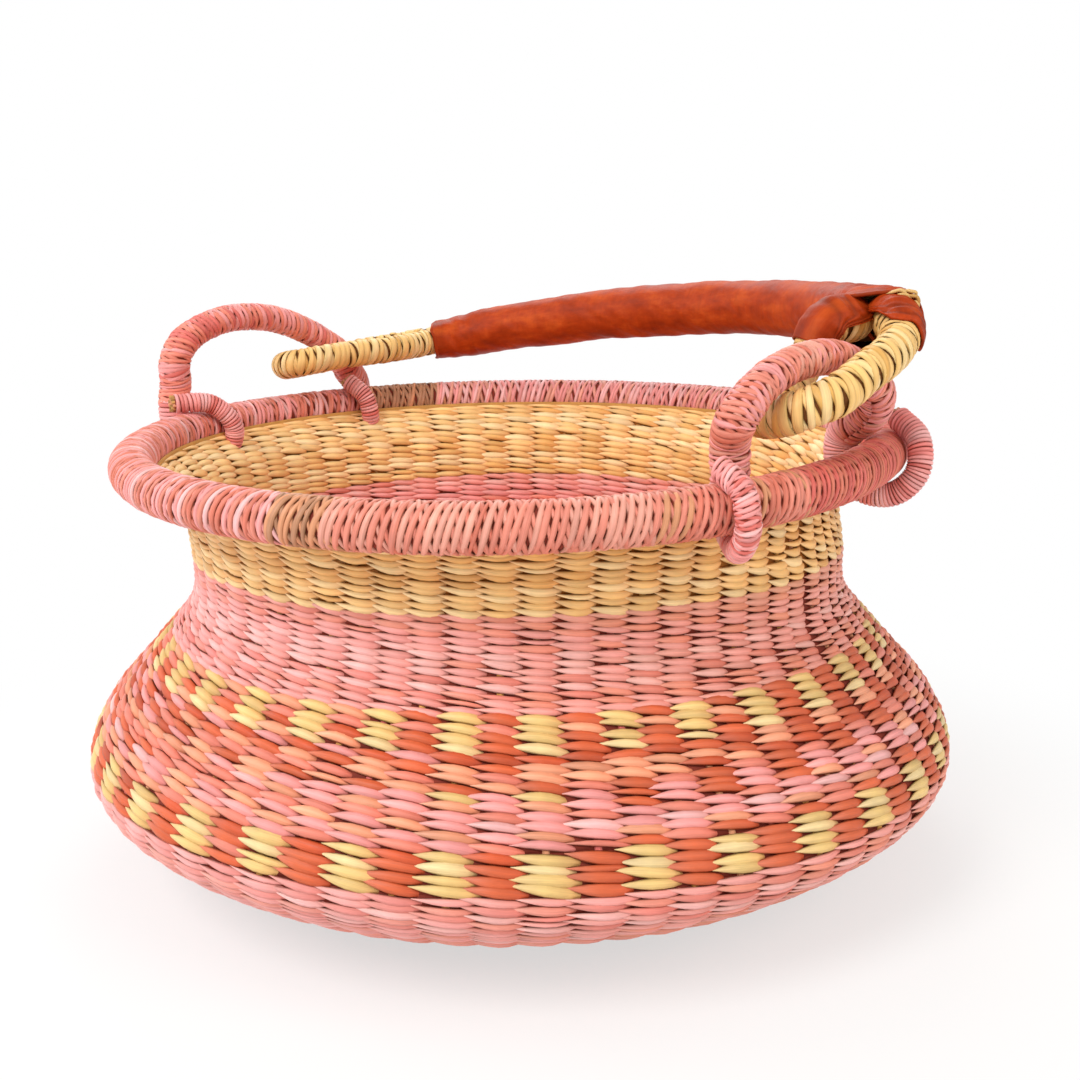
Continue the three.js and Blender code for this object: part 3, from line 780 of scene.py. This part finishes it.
def rim_strands(node, start, end, names, weights):
    """Two families of strands over the roll: the upper one lies close and leans one way, the
    lower one shows between its strands at the top and the foot of the roll."""
    strips = Ribbons()
    lean, slim = (22.0, 0.84) if node == "rim_wrap_right" else (17.0, 1)
    run = math.radians(end - start) * RIM_RADIUS
    count = int(round(run / RIM_SPACING))
    each = (count, 1)
    theta = np.linspace(0.06, TURN - 0.06, 30)
    angle = RIM_SEAT + theta
    swing = np.cos(2 * (angle - math.radians(12)))
    # Which way it leans, where it starts, half its width and depth with their swing, and shade.
    for family, first, half, half_swing, depth, depth_swing, shade in (
        (1, 0.25, 1.32, 0.18, 0.85, 0.15, 1), (-1, 0.7, 1.36, -0.1, 1.15, -0.2, 0.92),
    ):
        along = (np.arange(count) + first + drift(0.1, count)) * run / count
        middle = (math.radians(start) + along / RIM_RADIUS)[:, None]
        tilt = family * lean * varied(0.15, each)
        azimuth = middle + tilt * (theta / TURN - 0.5) / RIM_RADIUS
        half = (half + half_swing * swing) * varied(0.1, each) * slim
        out = ROLL - depth + depth_swing * swing + drift(0.12, each)
        tint = blend_of(names, weights, count, 0.035)[:, None, :] * shade
        glow = 1 + 0.05 * np.sin(theta * 2 + rng.uniform(0, 6.28, each))
        strips.add(
            rim_place, azimuth, angle, out, half, 0.95, leaning(tilt, ROLL, RIM_RADIUS),
            tint * glow[..., None], edge_shade=0.36,
        )
    return strips.build(node + "_strands", wrap)


dress(rim_core(), "basket", "natural_grass", "rim_core")
dress(rim_packing(), "basket", "natural_grass")
for node, (start, end, slot_name, names, weights) in RIM_RUNS.items():
    dress(rim_strands(node, start, end, names, weights), "basket", slot_name, node)


# ---- The ears ----
FOOT_GAP = 0.9  # from the roll to a foot
BINDING = 5.7
LEG = 8.8
ARCH = 7.9
EAR_RISE = 58
EAR_CORE_INSET = 1.2
BOUND_KNOTS = 6.3  # how many knots each binding reaches over
WRAP_RADIUS = 8  # the radius that the strands' lean is reckoned for
FOOT_SHARES = np.array([1, 0.5, 0, 0, 0, 0, 0])  # from the binding's radius to the leg's
# Azimuths along the foot, its first angle round the roll and its sweep, in degrees, and how
# much thicker its binding is.
FEET = {
    "right_near": ([-14.5, -15.2, -17, -19, -19.8, -20.2, -21], 152, 290, 1),
    "right_far": ([25, 25, 24.8, 24.4, 24.6, 26.4, 30], 152, 282, 1.12),
    "left_near": ([202, 201.6, 200.8, 200, 200.2, 203, 207.4], 28, -318, 1),
    "left_far": ([163.5, 163.5, 164.3, 165, 165.4, 166.4, 168.6], 28, -276, 1),
}
# The arch's plane, its middle, half its span, and its knots: how far they lean, and how far
# along the span and up they are, as shares.
EARS = {
    "right": (173, 6, 56, [
        (-1, -0.91, 0.45), (-0.375, -0.98, 0.595), (-0.06, -0.92, 0.707), (0, -0.75, 0.828),
        (0, -0.536, 0.905), (0, -0.214, 0.959), (0, 0.125, 0.957), (0, 0.43, 0.888),
        (0, 0.73, 0.741), (-0.25, 0.93, 0.603), (-1, 1.035, 0.448),
    ]),
    "left": (-188, -16, 62, [
        (-0.375, -0.968, 0.414), (-0.125, -0.984, 0.62), (0, -0.903, 0.793), (0, -0.742, 0.905),
        (0, -0.42, 1), (0, -0.03, 0.99), (0, 0.21, 0.931), (0, 0.468, 0.819),
        (0, 0.677, 0.698), (0, 0.855, 0.56), (-0.31, 0.984, 0.38),
    ]),
}
EAR_WRAPS = {
    "right": dict(
        dye=(["rim_pink", "pink", "rim_light", "rim_deep"], [4, 3, 1, 1]),
        spacing=3.5, lean=15.0, half=1.35, thick=0.8, inset=0.85, seam_at=2.5,
    ),
    "left": dict(
        dye=(["pink", "salmon", "pink_deep"], [4, 3, 2]),
        spacing=3.2, lean=13.0, half=1.5, thick=0.6, inset=0.7, seam_at=1.6,
    ),
}
BINDING_DYE = (["pink", "pink_light", "pink_deep"], [5, 2, 2])
EAR_COIL = dict(dye=BINDING_DYE, pitch=2.5, half=1.25, thick=0.9, inset=1.25)
EAR_CROSSING = dict(
    dye=BINDING_DYE, spacing=3.0, lean=9.0, half=1.2, thick=0.8, inset=1.1, seam_at=1.6)


def foot(azimuths, first, sweep, thickness):
    """Points along a foot, and the rope's radius at each."""
    binding = BINDING * thickness
    sizes = binding + (LEG - binding) * FOOT_SHARES
    angles = np.radians(first + sweep * np.linspace(0, 1, len(sizes)))
    return rim_place(np.radians(azimuths), angles, ROLL + FOOT_GAP + sizes), sizes


def ear_path(side):
    """The ear's line, its radius at each place, and where its two bindings end."""
    plane, centre, span, knots = EARS[side]
    near, near_sizes = foot(*FEET[side + "_near"])
    far, far_sizes = foot(*FEET[side + "_far"])
    lean, out, up = np.array(knots).T
    arch = joined(plane + lean * 8, centre + out * span, RIM_HEIGHT + up * EAR_RISE)
    radii = ARCH + (LEG - ARCH) * smoothstep(np.abs(out), 0.7, 1)
    path = Path(np.concatenate([near[::-1], arch, far]), (0, 1, 0))
    sizes = np.concatenate([near_sizes[::-1], radii, far_sizes])

    def radius(arc):
        return np.interp(path.share(arc) * path.knots, np.arange(len(sizes)), sizes)

    ends = np.array([BOUND_KNOTS, path.knots - BOUND_KNOTS]) / path.knots
    return path, radius, *np.interp(ends, path.shares, path.arc)


def tube(name, path, radius, margin, steps, tint, ridges=9, ridge=0.04, sides=24):
    """The inside of a rope, ridged, along a path but for a margin at both ends."""
    arcs = np.linspace(margin, path.length - margin, steps)
    arc, angle = grid_of(arcs, circle(sides))
    size = radius(arc) * (1 + ridge * np.cos(ridges * angle + arc * 0.08))
    return sheet(name, path.place, arcs, circle(sides), size, False, tint, (1, 8))


def coil(strips, path, radius, start, end, dye, pitch, half, thick, inset):
    """One unbroken strand wound side by side along a path."""
    wobble = 0.09
    turns = max(1, path.turns(start, end, pitch))
    t = np.linspace(0, 1, turns * 20 + 1)

    def wander(values):
        return np.interp(t * turns, np.arange(turns + 1), values)

    arc = path.even(start, end, t)
    narrow = path.narrow(arc)
    arc = arc + narrow * wander(drift(wobble * pitch, turns + 1))
    tints = blend_of(*dye, turns + 1, 0.06)
    width = half * narrow * wander(varied(0.8 * wobble, turns + 1))
    strips.add(
        path.place, arc[None], TURN * turns * t, radius(arc) - inset, width, thick, (1.0, 0.0),
        np.stack([wander(channel) for channel in tints.T], -1),
    )


def crossing(
    strips, path, radius, start, end, dye, spacing, lean, half, thick, inset, seam_at,
):
    """Two families of strands that cross on the outside of a path, each strand one turn."""
    count = path.turns(start, end, spacing)
    each = (count, 1)
    theta = np.linspace(0, TURN, 24)
    angle = seam_at + theta
    swing = np.cos(3 * angle + 0.8)
    # Which way it leans, where it starts, its width and depth with their swing, and shade.
    for family, first, wide, wide_swing, depth, depth_swing, shade in (
        (1, 0.25, 1, 0.14, 0, 0.1, 1), (-1, 0.72, 0.95, -0.08, 0.3, -0.2, 0.92),
    ):
        share = (np.arange(count) + first + drift(0.1, count)) / count
        middle = path.even(start, end, share)[:, None]
        narrow = path.narrow(middle)
        tilt = family * lean * narrow * varied(0.15, each)
        arc = np.clip(middle + tilt * (theta / TURN - 0.5), start - 1.5, end + 1.5)
        width = half * wide * narrow * (1 + wide_swing * swing) * varied(0.09, each)
        tint = blend_of(*dye, count, 0.05)[:, None, :] * shade
        out = radius(arc) - inset - depth + depth_swing * swing + drift(0.1, each)
        strips.add(path.place, arc, angle, out, width, thick, leaning(tilt, WRAP_RADIUS), tint)


def cut_end(strips, path, arc, direction, names):
    """The short ends of grass that stick out where a binding is cut."""
    size = BINDING - 0.6
    turn = circle(7)[::-1]
    spots = [(0.0, 0.0)]
    for share, count in ((0.36, 6), (0.72, 12)):
        spots += [(share, angle) for angle in circle(count)]
    for share, angle in spots:
        way = arc + direction * np.array([-2.5, 0.4 + rng.uniform(0, 1.3)])
        centre = path.place(way, angle, np.full(2, max(share * size, 0.05)))
        axis = unit(centre[1] - centre[0])
        side = unit(np.cross(axis, (0.3, 0.5, 0.8)))
        other = np.cross(axis, side)

        def place(a, b, c, centre=centre, side=side, other=other):
            return centre[None, :, None] + a[..., None] * side + c[..., None] * other

        tint = blend_of(names, [1] * len(names), (1, 1), 0.1)
        strips.add(
            place, np.zeros((1, 2)), 0.0, 0.0, size * 0.19, size * 0.19, (1.0, 0.0), tint,
            (np.cos(turn), np.sin(turn)),
        )


for side in EARS:
    path, radius, foot_in, foot_out = ear_path(side)
    node = "ear_" + side
    # The ear's core is painted the dark gap colour, a painted shade between the wrapped strands.
    core = tube(
        node + "_core", path, lambda arc: radius(arc) - EAR_CORE_INSET, 0.3, 200,
        PAINT["gap"] * 1.1,
    )
    dress(core, "basket", "pink_grass")
    strips = Ribbons()
    crossing(strips, path, radius, foot_in, foot_out, **EAR_WRAPS[side])
    dress(strips.build(node + "_wrapping", wrap), "basket", "pink_grass", node)
    strips = Ribbons()
    if side == "right":
        crossing(strips, path, radius, 0.5, foot_in + 1, **EAR_CROSSING)
    else:
        coil(strips, path, radius, 0.5, foot_in + 1, **EAR_COIL)
    coil(strips, path, radius, foot_out - 1, path.length - 0.5, **EAR_COIL)
    dress(strips.build(node + "_bindings", wrap), "basket", "pink_grass")
    strips = Ribbons()
    cut_end(strips, path, 0.0, -1, ["cut", "tan"])
    cut_end(strips, path, path.length, 1, ["cut", "brown"])
    dress(strips.build(node + "_cut_ends", inner_grass), "basket", "tan_grass")


# ---- The handle ----
STRAND = 7.7
BLADE_OUT = 9.7
EYE_WIDTH = ARCH + 1.1 + BLADE_OUT
IN_SLEEVE = 26  # how far the eyes' ropes run into the leather
# The grip's knots, as shares of its reach along x, y and z from its pivot.
GRIP_PIVOT = (0, -19.5, 235)
GRIP_REACH = (182, 165.5, 33)
GRIP_SHARES = [
    (-0.957, 0.758, 0.03), (-0.895, 0.82, 0.09), (-0.8, 0.872, 0.2), (-0.604, 0.927, 0.39),
    (-0.33, 0.976, 0.6), (0, 1, 0.774), (0.302, 0.951, 0.871), (0.577, 0.823, 0.919),
    (0.792, 0.62, 1), (0.89, 0.52, 1), (0.935, 0.43, 0.97),
]
GRIP = Path(np.array(GRIP_PIVOT) + np.array(GRIP_REACH) * GRIP_SHARES, (0, 0, 1))
# Half the sleeve's width, half its height and how round it is, from left to right.
GRIP_SECTIONS = [
    [19.8, 14.6, 14.6, 14.6, 14.6, 14.6, 22.4],
    [11.4, 13.6, 14.6, 14.6, 14.6, 13.9, 14.0],
    [0.62, 0.9, 1, 1, 1, 0.9, 0.62],
]
# The stations of the two limbs are shares of the eye's width: forward, out and high.
EYES = {
    "right": dict(
        plane=173, pivot=(-19.5, 235), bend=(-0.1, -0.02), thickness=1, slope=15,
        at_right=True, twist=0.28, slant=0,
        outer=[(1, 1.05, 0.4), (2, 1.04, 0.44), (2.7, 0.88, 0.55)],
        inner=[(0.9, -1.04, -0.1), (1.6, -1.02, 0.25), (2.3, -0.8, 0.86)],
    ),
    "left": dict(
        plane=-188, pivot=(-6, 227), bend=(0.16, 0.05), thickness=0.86, slope=3,
        at_right=False, twist=0.2, slant=-0.71,
        outer=[(0.6, 1.06, 0.2), (1.7, 1.18, 0.16), (2.7, 1.18, 0.14), (3.7, 1, 0.1)],
        inner=[(1.4, -1.08, -0.2), (2.3, -1.09, -0.16), (3.4, -0.9, -0.1)],
    ),
}
BLADES = (["blade", "blade_light", "blade_deep"], [6, 3, 2])
BLADE_PITCH = 6.0


def mouth_at(right):
    """Where a mouth of the sleeve is, and which way along the grip leads out of it."""
    return (GRIP.length, 1) if right else (0.0, -1)


def eye_path(eye):
    """The line of an eye's rope, from inside the sleeve round the ear and back into it."""
    mouth, outward = mouth_at(eye["at_right"])
    end = GRIP.read(GRIP.spots, mouth)
    hidden = GRIP.read(GRIP.spots, mouth - IN_SLEEVE * outward)
    across = unit(np.cross((0, 0, 1), GRIP.read(GRIP.tangent, mouth)))
    sideways = across * np.sign(across[0])
    slope = math.radians(eye["slope"])
    beside = np.array([1, 0, 0])
    leg = np.array([0, math.cos(slope), math.sin(slope)])
    lift = np.cross(beside, leg)
    forward, high = eye["bend"]
    centre = np.array([eye["plane"], *eye["pivot"]], float)
    centre += (leg * (1 + forward) + lift * high) * EYE_WIDTH

    def place(forward, out, high):
        return centre + (leg * forward + beside * out + lift * high) * EYE_WIDTH

    turn = []
    for angle in np.linspace(0, math.pi, 7):
        out, bow = math.cos(angle), math.sin(angle)
        turn.append(place(eye["slant"] * out - bow, out, eye["twist"] * out))
    return Path([
        hidden + sideways * 2.6, end + sideways * 9.7,
        *[place(*station) for station in eye["outer"][::-1]],
        *turn,
        *[place(*station) for station in eye["inner"]],
        end - sideways * 9.7, hidden - sideways * 2.6,
    ], (0, 0, 1))


def grip_ring(arc, angle, inset):
    """Points on the sleeve, which is between a rounded box and an ellipse across."""
    knots = np.linspace(0, 1, len(GRIP_SECTIONS[0]))
    width, height, power = (
        np.interp(GRIP.share(arc), knots, values) for values in GRIP_SECTIONS)
    cos, sin = np.cos(angle), np.sin(angle)
    across = (width - inset) * np.sign(cos) * np.abs(cos) ** power
    return GRIP.beside(arc, across, (height - inset) * np.sign(sin) * np.abs(sin) ** power)


def over_blades(strips, path, size, start, end, low, high):
    """Single blades that lie across the wound one, each one turn and kept from low to high."""
    count = path.turns(start, end, BLADE_PITCH)
    each = (count, 1)
    theta = np.linspace(0, TURN, 28)
    share = (np.arange(count) + 0.5 + drift(0.12, count)) / count
    middle = path.even(start, end, share)[:, None]
    narrow = path.narrow(middle)
    tilt = -14.0 * narrow * varied(0.25, each)
    arc = np.clip(middle + tilt * (theta / TURN - 0.5), low, high)
    angle = theta + 2.6 + drift(0.5, each)
    out = size + 0.75 + drift(0.12, each)
    width = 2.15 * narrow * varied(0.12, each)
    tint = blend_of(*BLADES, count, 0.04)[:, None, :]
    strips.add(path.place, arc, angle, out, width, 0.55, leaning(tilt, size), tint)


middle_rope = sheet(
    "handle_rope_middle", grip_ring, np.linspace(20, GRIP.length - 20, 60), circle(32), 3.2, False,
    PAINT["natural"], (1, 10),
)
dress(middle_rope, "handle", "natural_grass", "handle_rope")
for side, eye in EYES.items():
    path = eye_path(eye)
    size = STRAND * eye["thickness"]
    # The eye's rope is painted a dark brown, a painted shade seen between the blades.
    rope = tube(
        "handle_rope_" + side + "_eye", path, lambda arc: size, 0.5, 260, PAINT["gap_blade"],
        ridges=14, ridge=0.03, sides=56,
    )
    dress(rope, "handle", "natural_grass")
    bend = path.length / 2
    for part, start, end, more_low, more_high in (
        ("outer", 20.0, bend + 2.5, 0, 3), ("inner", bend - 2.5, path.length - 20.0, 3, 0),
    ):
        strips = Ribbons()
        coil(
            strips, path, lambda arc: size, start, end, BLADES, BLADE_PITCH, half=2.3,
            thick=0.5, inset=-0.3,
        )
        over_blades(strips, path, size, start, end, start - more_low, end + more_high)
        piece = strips.build("eye_blade_" + side + "_" + part, blade_grass)
        dress(piece, "handle", "pale_grass", "eye_winding_" + side + "_" + part)


def leather_piece(name, grid, closed, shade, grain):
    return make_object(name, grid, loft(grid, closed), joined(*[shade] * 3), grain, leather)


def leather_sleeve():
    """The sleeve: its outer face with soft lumps and creases, rolled lips and its inner face."""
    sides, outside, inside, lip = 112, 300, 120, 1.8
    turn = math.pi * np.arange(1, 6) / 6
    roll, fall = lip / 2 * np.sin(turn), lip / 2 * np.cos(turn)
    arcs = np.concatenate([
        GRIP.length * np.linspace(0, 1, outside), GRIP.length + roll,
        GRIP.length * np.linspace(1, 0, inside), -roll,
    ])
    insets = np.concatenate([
        np.zeros(outside), lip / 2 - fall, np.full(inside, lip), lip / 2 + fall])
    way, around = grid_of(arcs, circle(sides))
    inset = np.repeat(insets[:, None], sides, 1)
    for i, j in np.ndindex(outside, sides):
        s, a = way[i, j], around[i, j]
        spot = Vector((s * 0.028, math.cos(a) * 1.3, math.sin(a) * 1.3))
        lump = noise.noise(spot)
        near_right = math.exp(-((GRIP.length - s) / 55) ** 2)
        near_left = math.exp(-(s / 40) ** 2)
        fold = math.sin((s + 9 * math.sin(a + 0.6) + 5 * noise.noise(spot * 2.1)) * 0.62)
        pleat = noise.noise(Vector((s * 0.11 + 2.2 * math.sin(a), math.cos(a) * 0.9, 3.1)))
        end = min(1.0, s / 6, (GRIP.length - s) / 6)
        rise = 0.75 * lump + 0.55 * pleat + (0.75 * near_right + 0.2 * near_left) * fold
        inset[i, j] = -end * max(-1.3, min(rise, 1.2))
    grid = grip_ring(way, around, inset) + GRIP.past(way)
    grain = joined(way, np.sin(around) * 14, np.cos(around) * 14)
    shade = 1 - 0.25 * np.clip(1 - np.minimum(way, GRIP.length - way) / 7, 0, 1)
    shade[outside:] *= 0.8
    return leather_piece("leather_sleeve", grid, True, shade, grain)


def leather_cuff(name, first, reach, radius, folds):
    """Leather drawn on over one limb of the right eye, from first to reach, with folds at
    these shares. reach and radius are read at each angle in degrees, and radius at each arc."""
    outside, inside, lip = 60, 16, 6
    path = eye_path(EYES["right"])
    way, angle = grid_of([*np.linspace(0, 1, outside), *np.linspace(1, 0, inside)], circle(120))
    inner = np.arange(outside + inside)[:, None] >= outside
    turn = np.degrees(angle)
    arc = first + (reach(turn) - first) * way
    pleat = sum(0.5 * np.exp(-(((way - at) / 0.045) ** 2)) for at in folds)
    crease = (
        0.34 * np.sin(arc * 0.75 + 2.6 * np.sin(angle + 0.5))
        + 0.2 * np.sin(3 * angle + arc * 0.3)
        + 0.22 * np.sin(arc * 1.7 - 2.5 * np.sin(angle * 2 + 0.9) + 1.1)
    )
    relief = np.where(inner, -1.1, (crease + pleat) * np.minimum(1, way * 2.5))
    size = np.maximum(radius(arc, turn) + relief, np.where(inner, 9.3, 9.9))
    grid = path.place(arc, angle, size)
    lines = np.linspace(0, 40, outside + inside)[:, None]
    grain = joined(lines, np.sin(angle) * 12, np.cos(angle) * 12)
    # Painted shade: darker lines along the folds and darker towards the bottom; the lip is painted
    # lighter, a painted highlight.
    shade = np.full(way.shape, 0.93)
    for at in folds:
        shade *= 1 - 0.34 * np.exp(-(((way - at + 0.07) / 0.03) ** 2))
    low = smoothstep(path.read(path.spots, first + 12)[2] + 4 - grid[..., 2], 0, 14)
    shade *= 1 - 0.3 * low
    # The lip's painted highlight.
    shade[outside - lip:outside] *= 1.25
    return leather_piece(name, grid, True, shade, grain)


def inner_reach(turn):
    away = np.abs((turn - 80 + 180) % 360 - 180)
    return 199 + 33 * (1 - smoothstep(away, 100, 155))


def inner_radius(arc, turn):
    beside = smoothstep(np.cos(np.radians(turn - 188)), 0.35, 0.95) * smoothstep(arc, 204, 214)
    knots = [195, 200, 205, 210, 216, 223, 232]
    return np.interp(arc, knots, [9.9, 10.7, 11.7, 12.2, 12.2, 11.8, 10.4]) - 1.9 * beside


def outer_reach(turn):
    more = smoothstep(np.cos(np.radians(turn - 45)), -0.62, 0.35)
    return 21 + 24.5 * more + 0.7 * np.sin(np.radians(turn * 5))


def outer_radius(arc, turn):
    above = np.maximum(0, np.sin(np.radians(turn)))
    knots = [14, 22, 30, 38, 46]
    size = np.interp(arc, knots, [10.2, 11.0, 11.4, 11.0, 10.1])
    return size + above * np.interp(arc, knots, [0.6, 2.4, 2.2, 1.0, 0.2])


def mouth_hem(name, right, first, last, inset, forward, size):
    """A rolled hem along part of the sleeve's mouth, seen as a folded lip."""
    steps = 90
    mouth, outward = mouth_at(right)
    ahead = GRIP.read(GRIP.tangent, mouth) * outward
    turn = np.radians(np.linspace(first, last, steps))
    wave = forward + 0.7 * np.sin(turn * 3.1 + 0.4) + 0.3 * np.sin(turn * 7.7)
    line = grip_ring(np.full(steps, mouth), turn, inset) + ahead * wave[:, None]
    away = unit(line - GRIP.read(GRIP.spots, mouth) - ahead * forward)
    step, angle = grid_of(np.arange(steps), circle(12))
    size = size * np.clip(np.minimum(step, steps - 1 - step) / 10, 0.12, 1) ** 0.6
    grid = (
        line[:, None] + away[:, None] * (np.cos(angle) * size)[..., None]
        + ahead * (np.sin(angle) * size * 1.25)[..., None]
    )
    grain = joined(turn[:, None] * 18, angle * 1.5, inset)
    return leather_piece(name, grid, False, 0.86, grain)


# From and to, in degrees round the mouth; how far in and forward; half the width.
TAILS = [
    (78, 44, 0.3, 1.4, 1.5), (68, 26, 1.5, 1.9, 1.3), (50, 12, 0.2, 1.7, 1.5),
    (60, 30, -0.7, 0.2, 1.2), (34, 6, 1.3, 1.6, 1.2),
]


def grass_tails():
    """Ends of grass that come out between the sleeve and the outer limb and lie on the lip."""
    ahead = GRIP.read(GRIP.tangent, GRIP.length)
    knot = np.arange(5)
    blades = []
    for index, (first, last, inset, forward, half) in enumerate(TAILS):
        turn = np.radians(np.linspace(first, last, len(knot)))
        depth = inset + 0.5 * np.sin(knot * 2.3 + last)
        depth[[0, -1]] += 1.2
        rise = forward + 0.4 * np.sin(knot * 1.9 + first)
        spots = grip_ring(np.full(len(knot), GRIP.length), turn, depth) + ahead * rise[:, None]
        line = Path(spots, (0, 0, 1))
        arc, angle = grid_of(np.linspace(0, line.length, 18), circle(12))
        taper = np.clip(np.minimum(arc, line.length - arc) / 2.5, 0.2, 1)
        size = taper / np.sqrt((np.cos(angle) / half) ** 2 + (np.sin(angle) / 0.8) ** 2)
        grid = line.place(arc, angle, size)
        tint = np.full(grid.shape, blend_of(*BLADES, (1,), 0.05) * 0.72)
        grain = joined(arc, np.cos(angle) * half, index * Ribbons.APART)
        faces = (block + index * arc.size for block in loft(grid, False))
        blades.append((grid, *faces, tint, grain))
    points, faces, caps, tints, grains = map(np.concatenate, zip(*blades))
    return make_object("grass_tails", points, [faces, caps], tints, grains, blade_grass)


dress(leather_sleeve(), "handle", "rust_leather", "leather_grip")
for piece in (
    leather_cuff("leather_inner_cuff", 195.5, inner_reach, inner_radius, (0.42, 0.6, 0.78, 0.97)),
    leather_cuff("leather_outer_cuff", 14.0, outer_reach, outer_radius, (0.78, 0.96)),
    mouth_hem("right_mouth_hem", True, 95, 372, 0.2, 0.6, 1.35),
    mouth_hem("right_mouth_inner_hem", True, 118, 250, 3.4, -1.2, 1.3),
    mouth_hem("left_mouth_hem", False, 0, 352, 0.5, 0.1, 0.8),
):
    dress(piece, "handle", "rust_leather")
dress(grass_tails(), "handle", "pale_grass")


# ---- Stage, in metres ----
FLOOR_HEIGHT = -0.0004
LAMPS_LOOK_AT = Vector((0, 0, 0.12))


def backdrop():
    """Paper that takes the basket's shadow and fades into the white sky further out."""
    sides = 96
    radius, angle = grid_of([0.02, 0.2, 0.35, 0.5, 0.8, 1.5, 4, 12], circle(sides))
    grid = base_place(angle, radius, FLOOR_HEIGHT)
    faces = [range(sides), *loft(grid, False)[0].tolist()]
    mesh = bpy.data.meshes.new("floor")
    mesh.from_pydata(grid.reshape(-1, 3).tolist(), [], faces)
    material = bpy.data.materials.new("floor_paper")
    mesh.materials.append(material)
    nodes = Nodes(material)
    paper = nodes.tree.nodes["Principled BSDF"]
    nodes.fill(paper, {
        "Base Color": (0.86, 0.86, 0.86, 1), "Roughness": 0.9, "Specular IOR Level": 0.1})
    glow = nodes.add("Emission", "Emission", {"Color": (1, 1, 1, 1), "Strength": 1})
    spot = nodes.add("TexCoord", "Object", {})
    distance = nodes.add("VectorMath", "Value", {0: spot}, operation="LENGTH")
    fade = nodes.add("MapRange", "Result", {
        "Value": distance, "From Min": 0.2, "From Max": 0.42, "To Min": 0.62, "To Max": 1,
    }, interpolation_type="SMOOTHSTEP")
    surface = nodes.unless_seen(paper.outputs["BSDF"], glow, fade)
    nodes.fill(nodes.tree.nodes["Material Output"], {"Surface": surface})
    return linked("floor", mesh)


def sky():
    world = bpy.data.worlds.new("studio")
    bpy.context.scene.world = world
    nodes = Nodes(world)
    soft = nodes.tree.nodes["Background"]
    nodes.fill(soft, {"Color": (1, 0.985, 0.965, 1), "Strength": 0.62})
    white = nodes.add("Background", "Background", {"Color": (1, 1, 1, 1), "Strength": 1})
    surface = nodes.unless_seen(soft.outputs["Background"], white)
    nodes.fill(nodes.tree.nodes["World Output"], {"Surface": surface})


def lamp(name, azimuth, height, distance, size, power, colour=(1, 1, 1)):
    data = bpy.data.lights.new(name, "AREA")
    data.color = colour
    data.shape = "DISK"
    data.size = size
    data.energy = power
    turn = math.radians(azimuth)
    spot = Vector((math.sin(turn) * distance, -math.cos(turn) * distance, height))
    light = linked(name, data)
    light.location = spot
    light.rotation_euler = (LAMPS_LOOK_AT - spot).to_track_quat("-Z", "Y").to_euler()


def camera():
    """The camera that was fitted to the photo. It stands at azimuth turn from -y."""
    pitch, yaw, roll, turn = 0.2321, 0.0145, -0.0144, math.radians(44.5)
    focal_length, picture_width, sensor_width = 1449.73, 1080, 36
    view = Matrix.Translation((0.5102, -0.5192, 0.323))
    for angle, axis in ((turn, "Z"), (math.pi / 2 - pitch, "X"), (-yaw, "Y"), (roll, "Z")):
        view = view @ Matrix.Rotation(angle, 4, axis)
    data = bpy.data.cameras.new("photo_view")
    data.sensor_fit = "HORIZONTAL"
    data.sensor_width = sensor_width
    data.lens = sensor_width * focal_length / picture_width
    data.clip_start = 0.01
    piece = linked("photo_view", data)
    piece.matrix_world = view
    bpy.context.scene.camera = piece


backdrop()
sky()
# Azimuth from -y in degrees, height, distance, size, power and colour.
lamp("key", 2, 1.45, 1.5, 1.0, 22, (1, 0.99, 0.97))
lamp("side", -58, 1.0, 1.6, 1.2, 8, (0.97, 0.98, 1))
lamp("fill", 100, 1.1, 1.7, 1.3, 12, (1, 0.93, 0.84))
lamp("back", 225, 1.4, 1.5, 1.2, 10)
camera()
bpy.context.scene.view_settings.view_transform = "Standard"
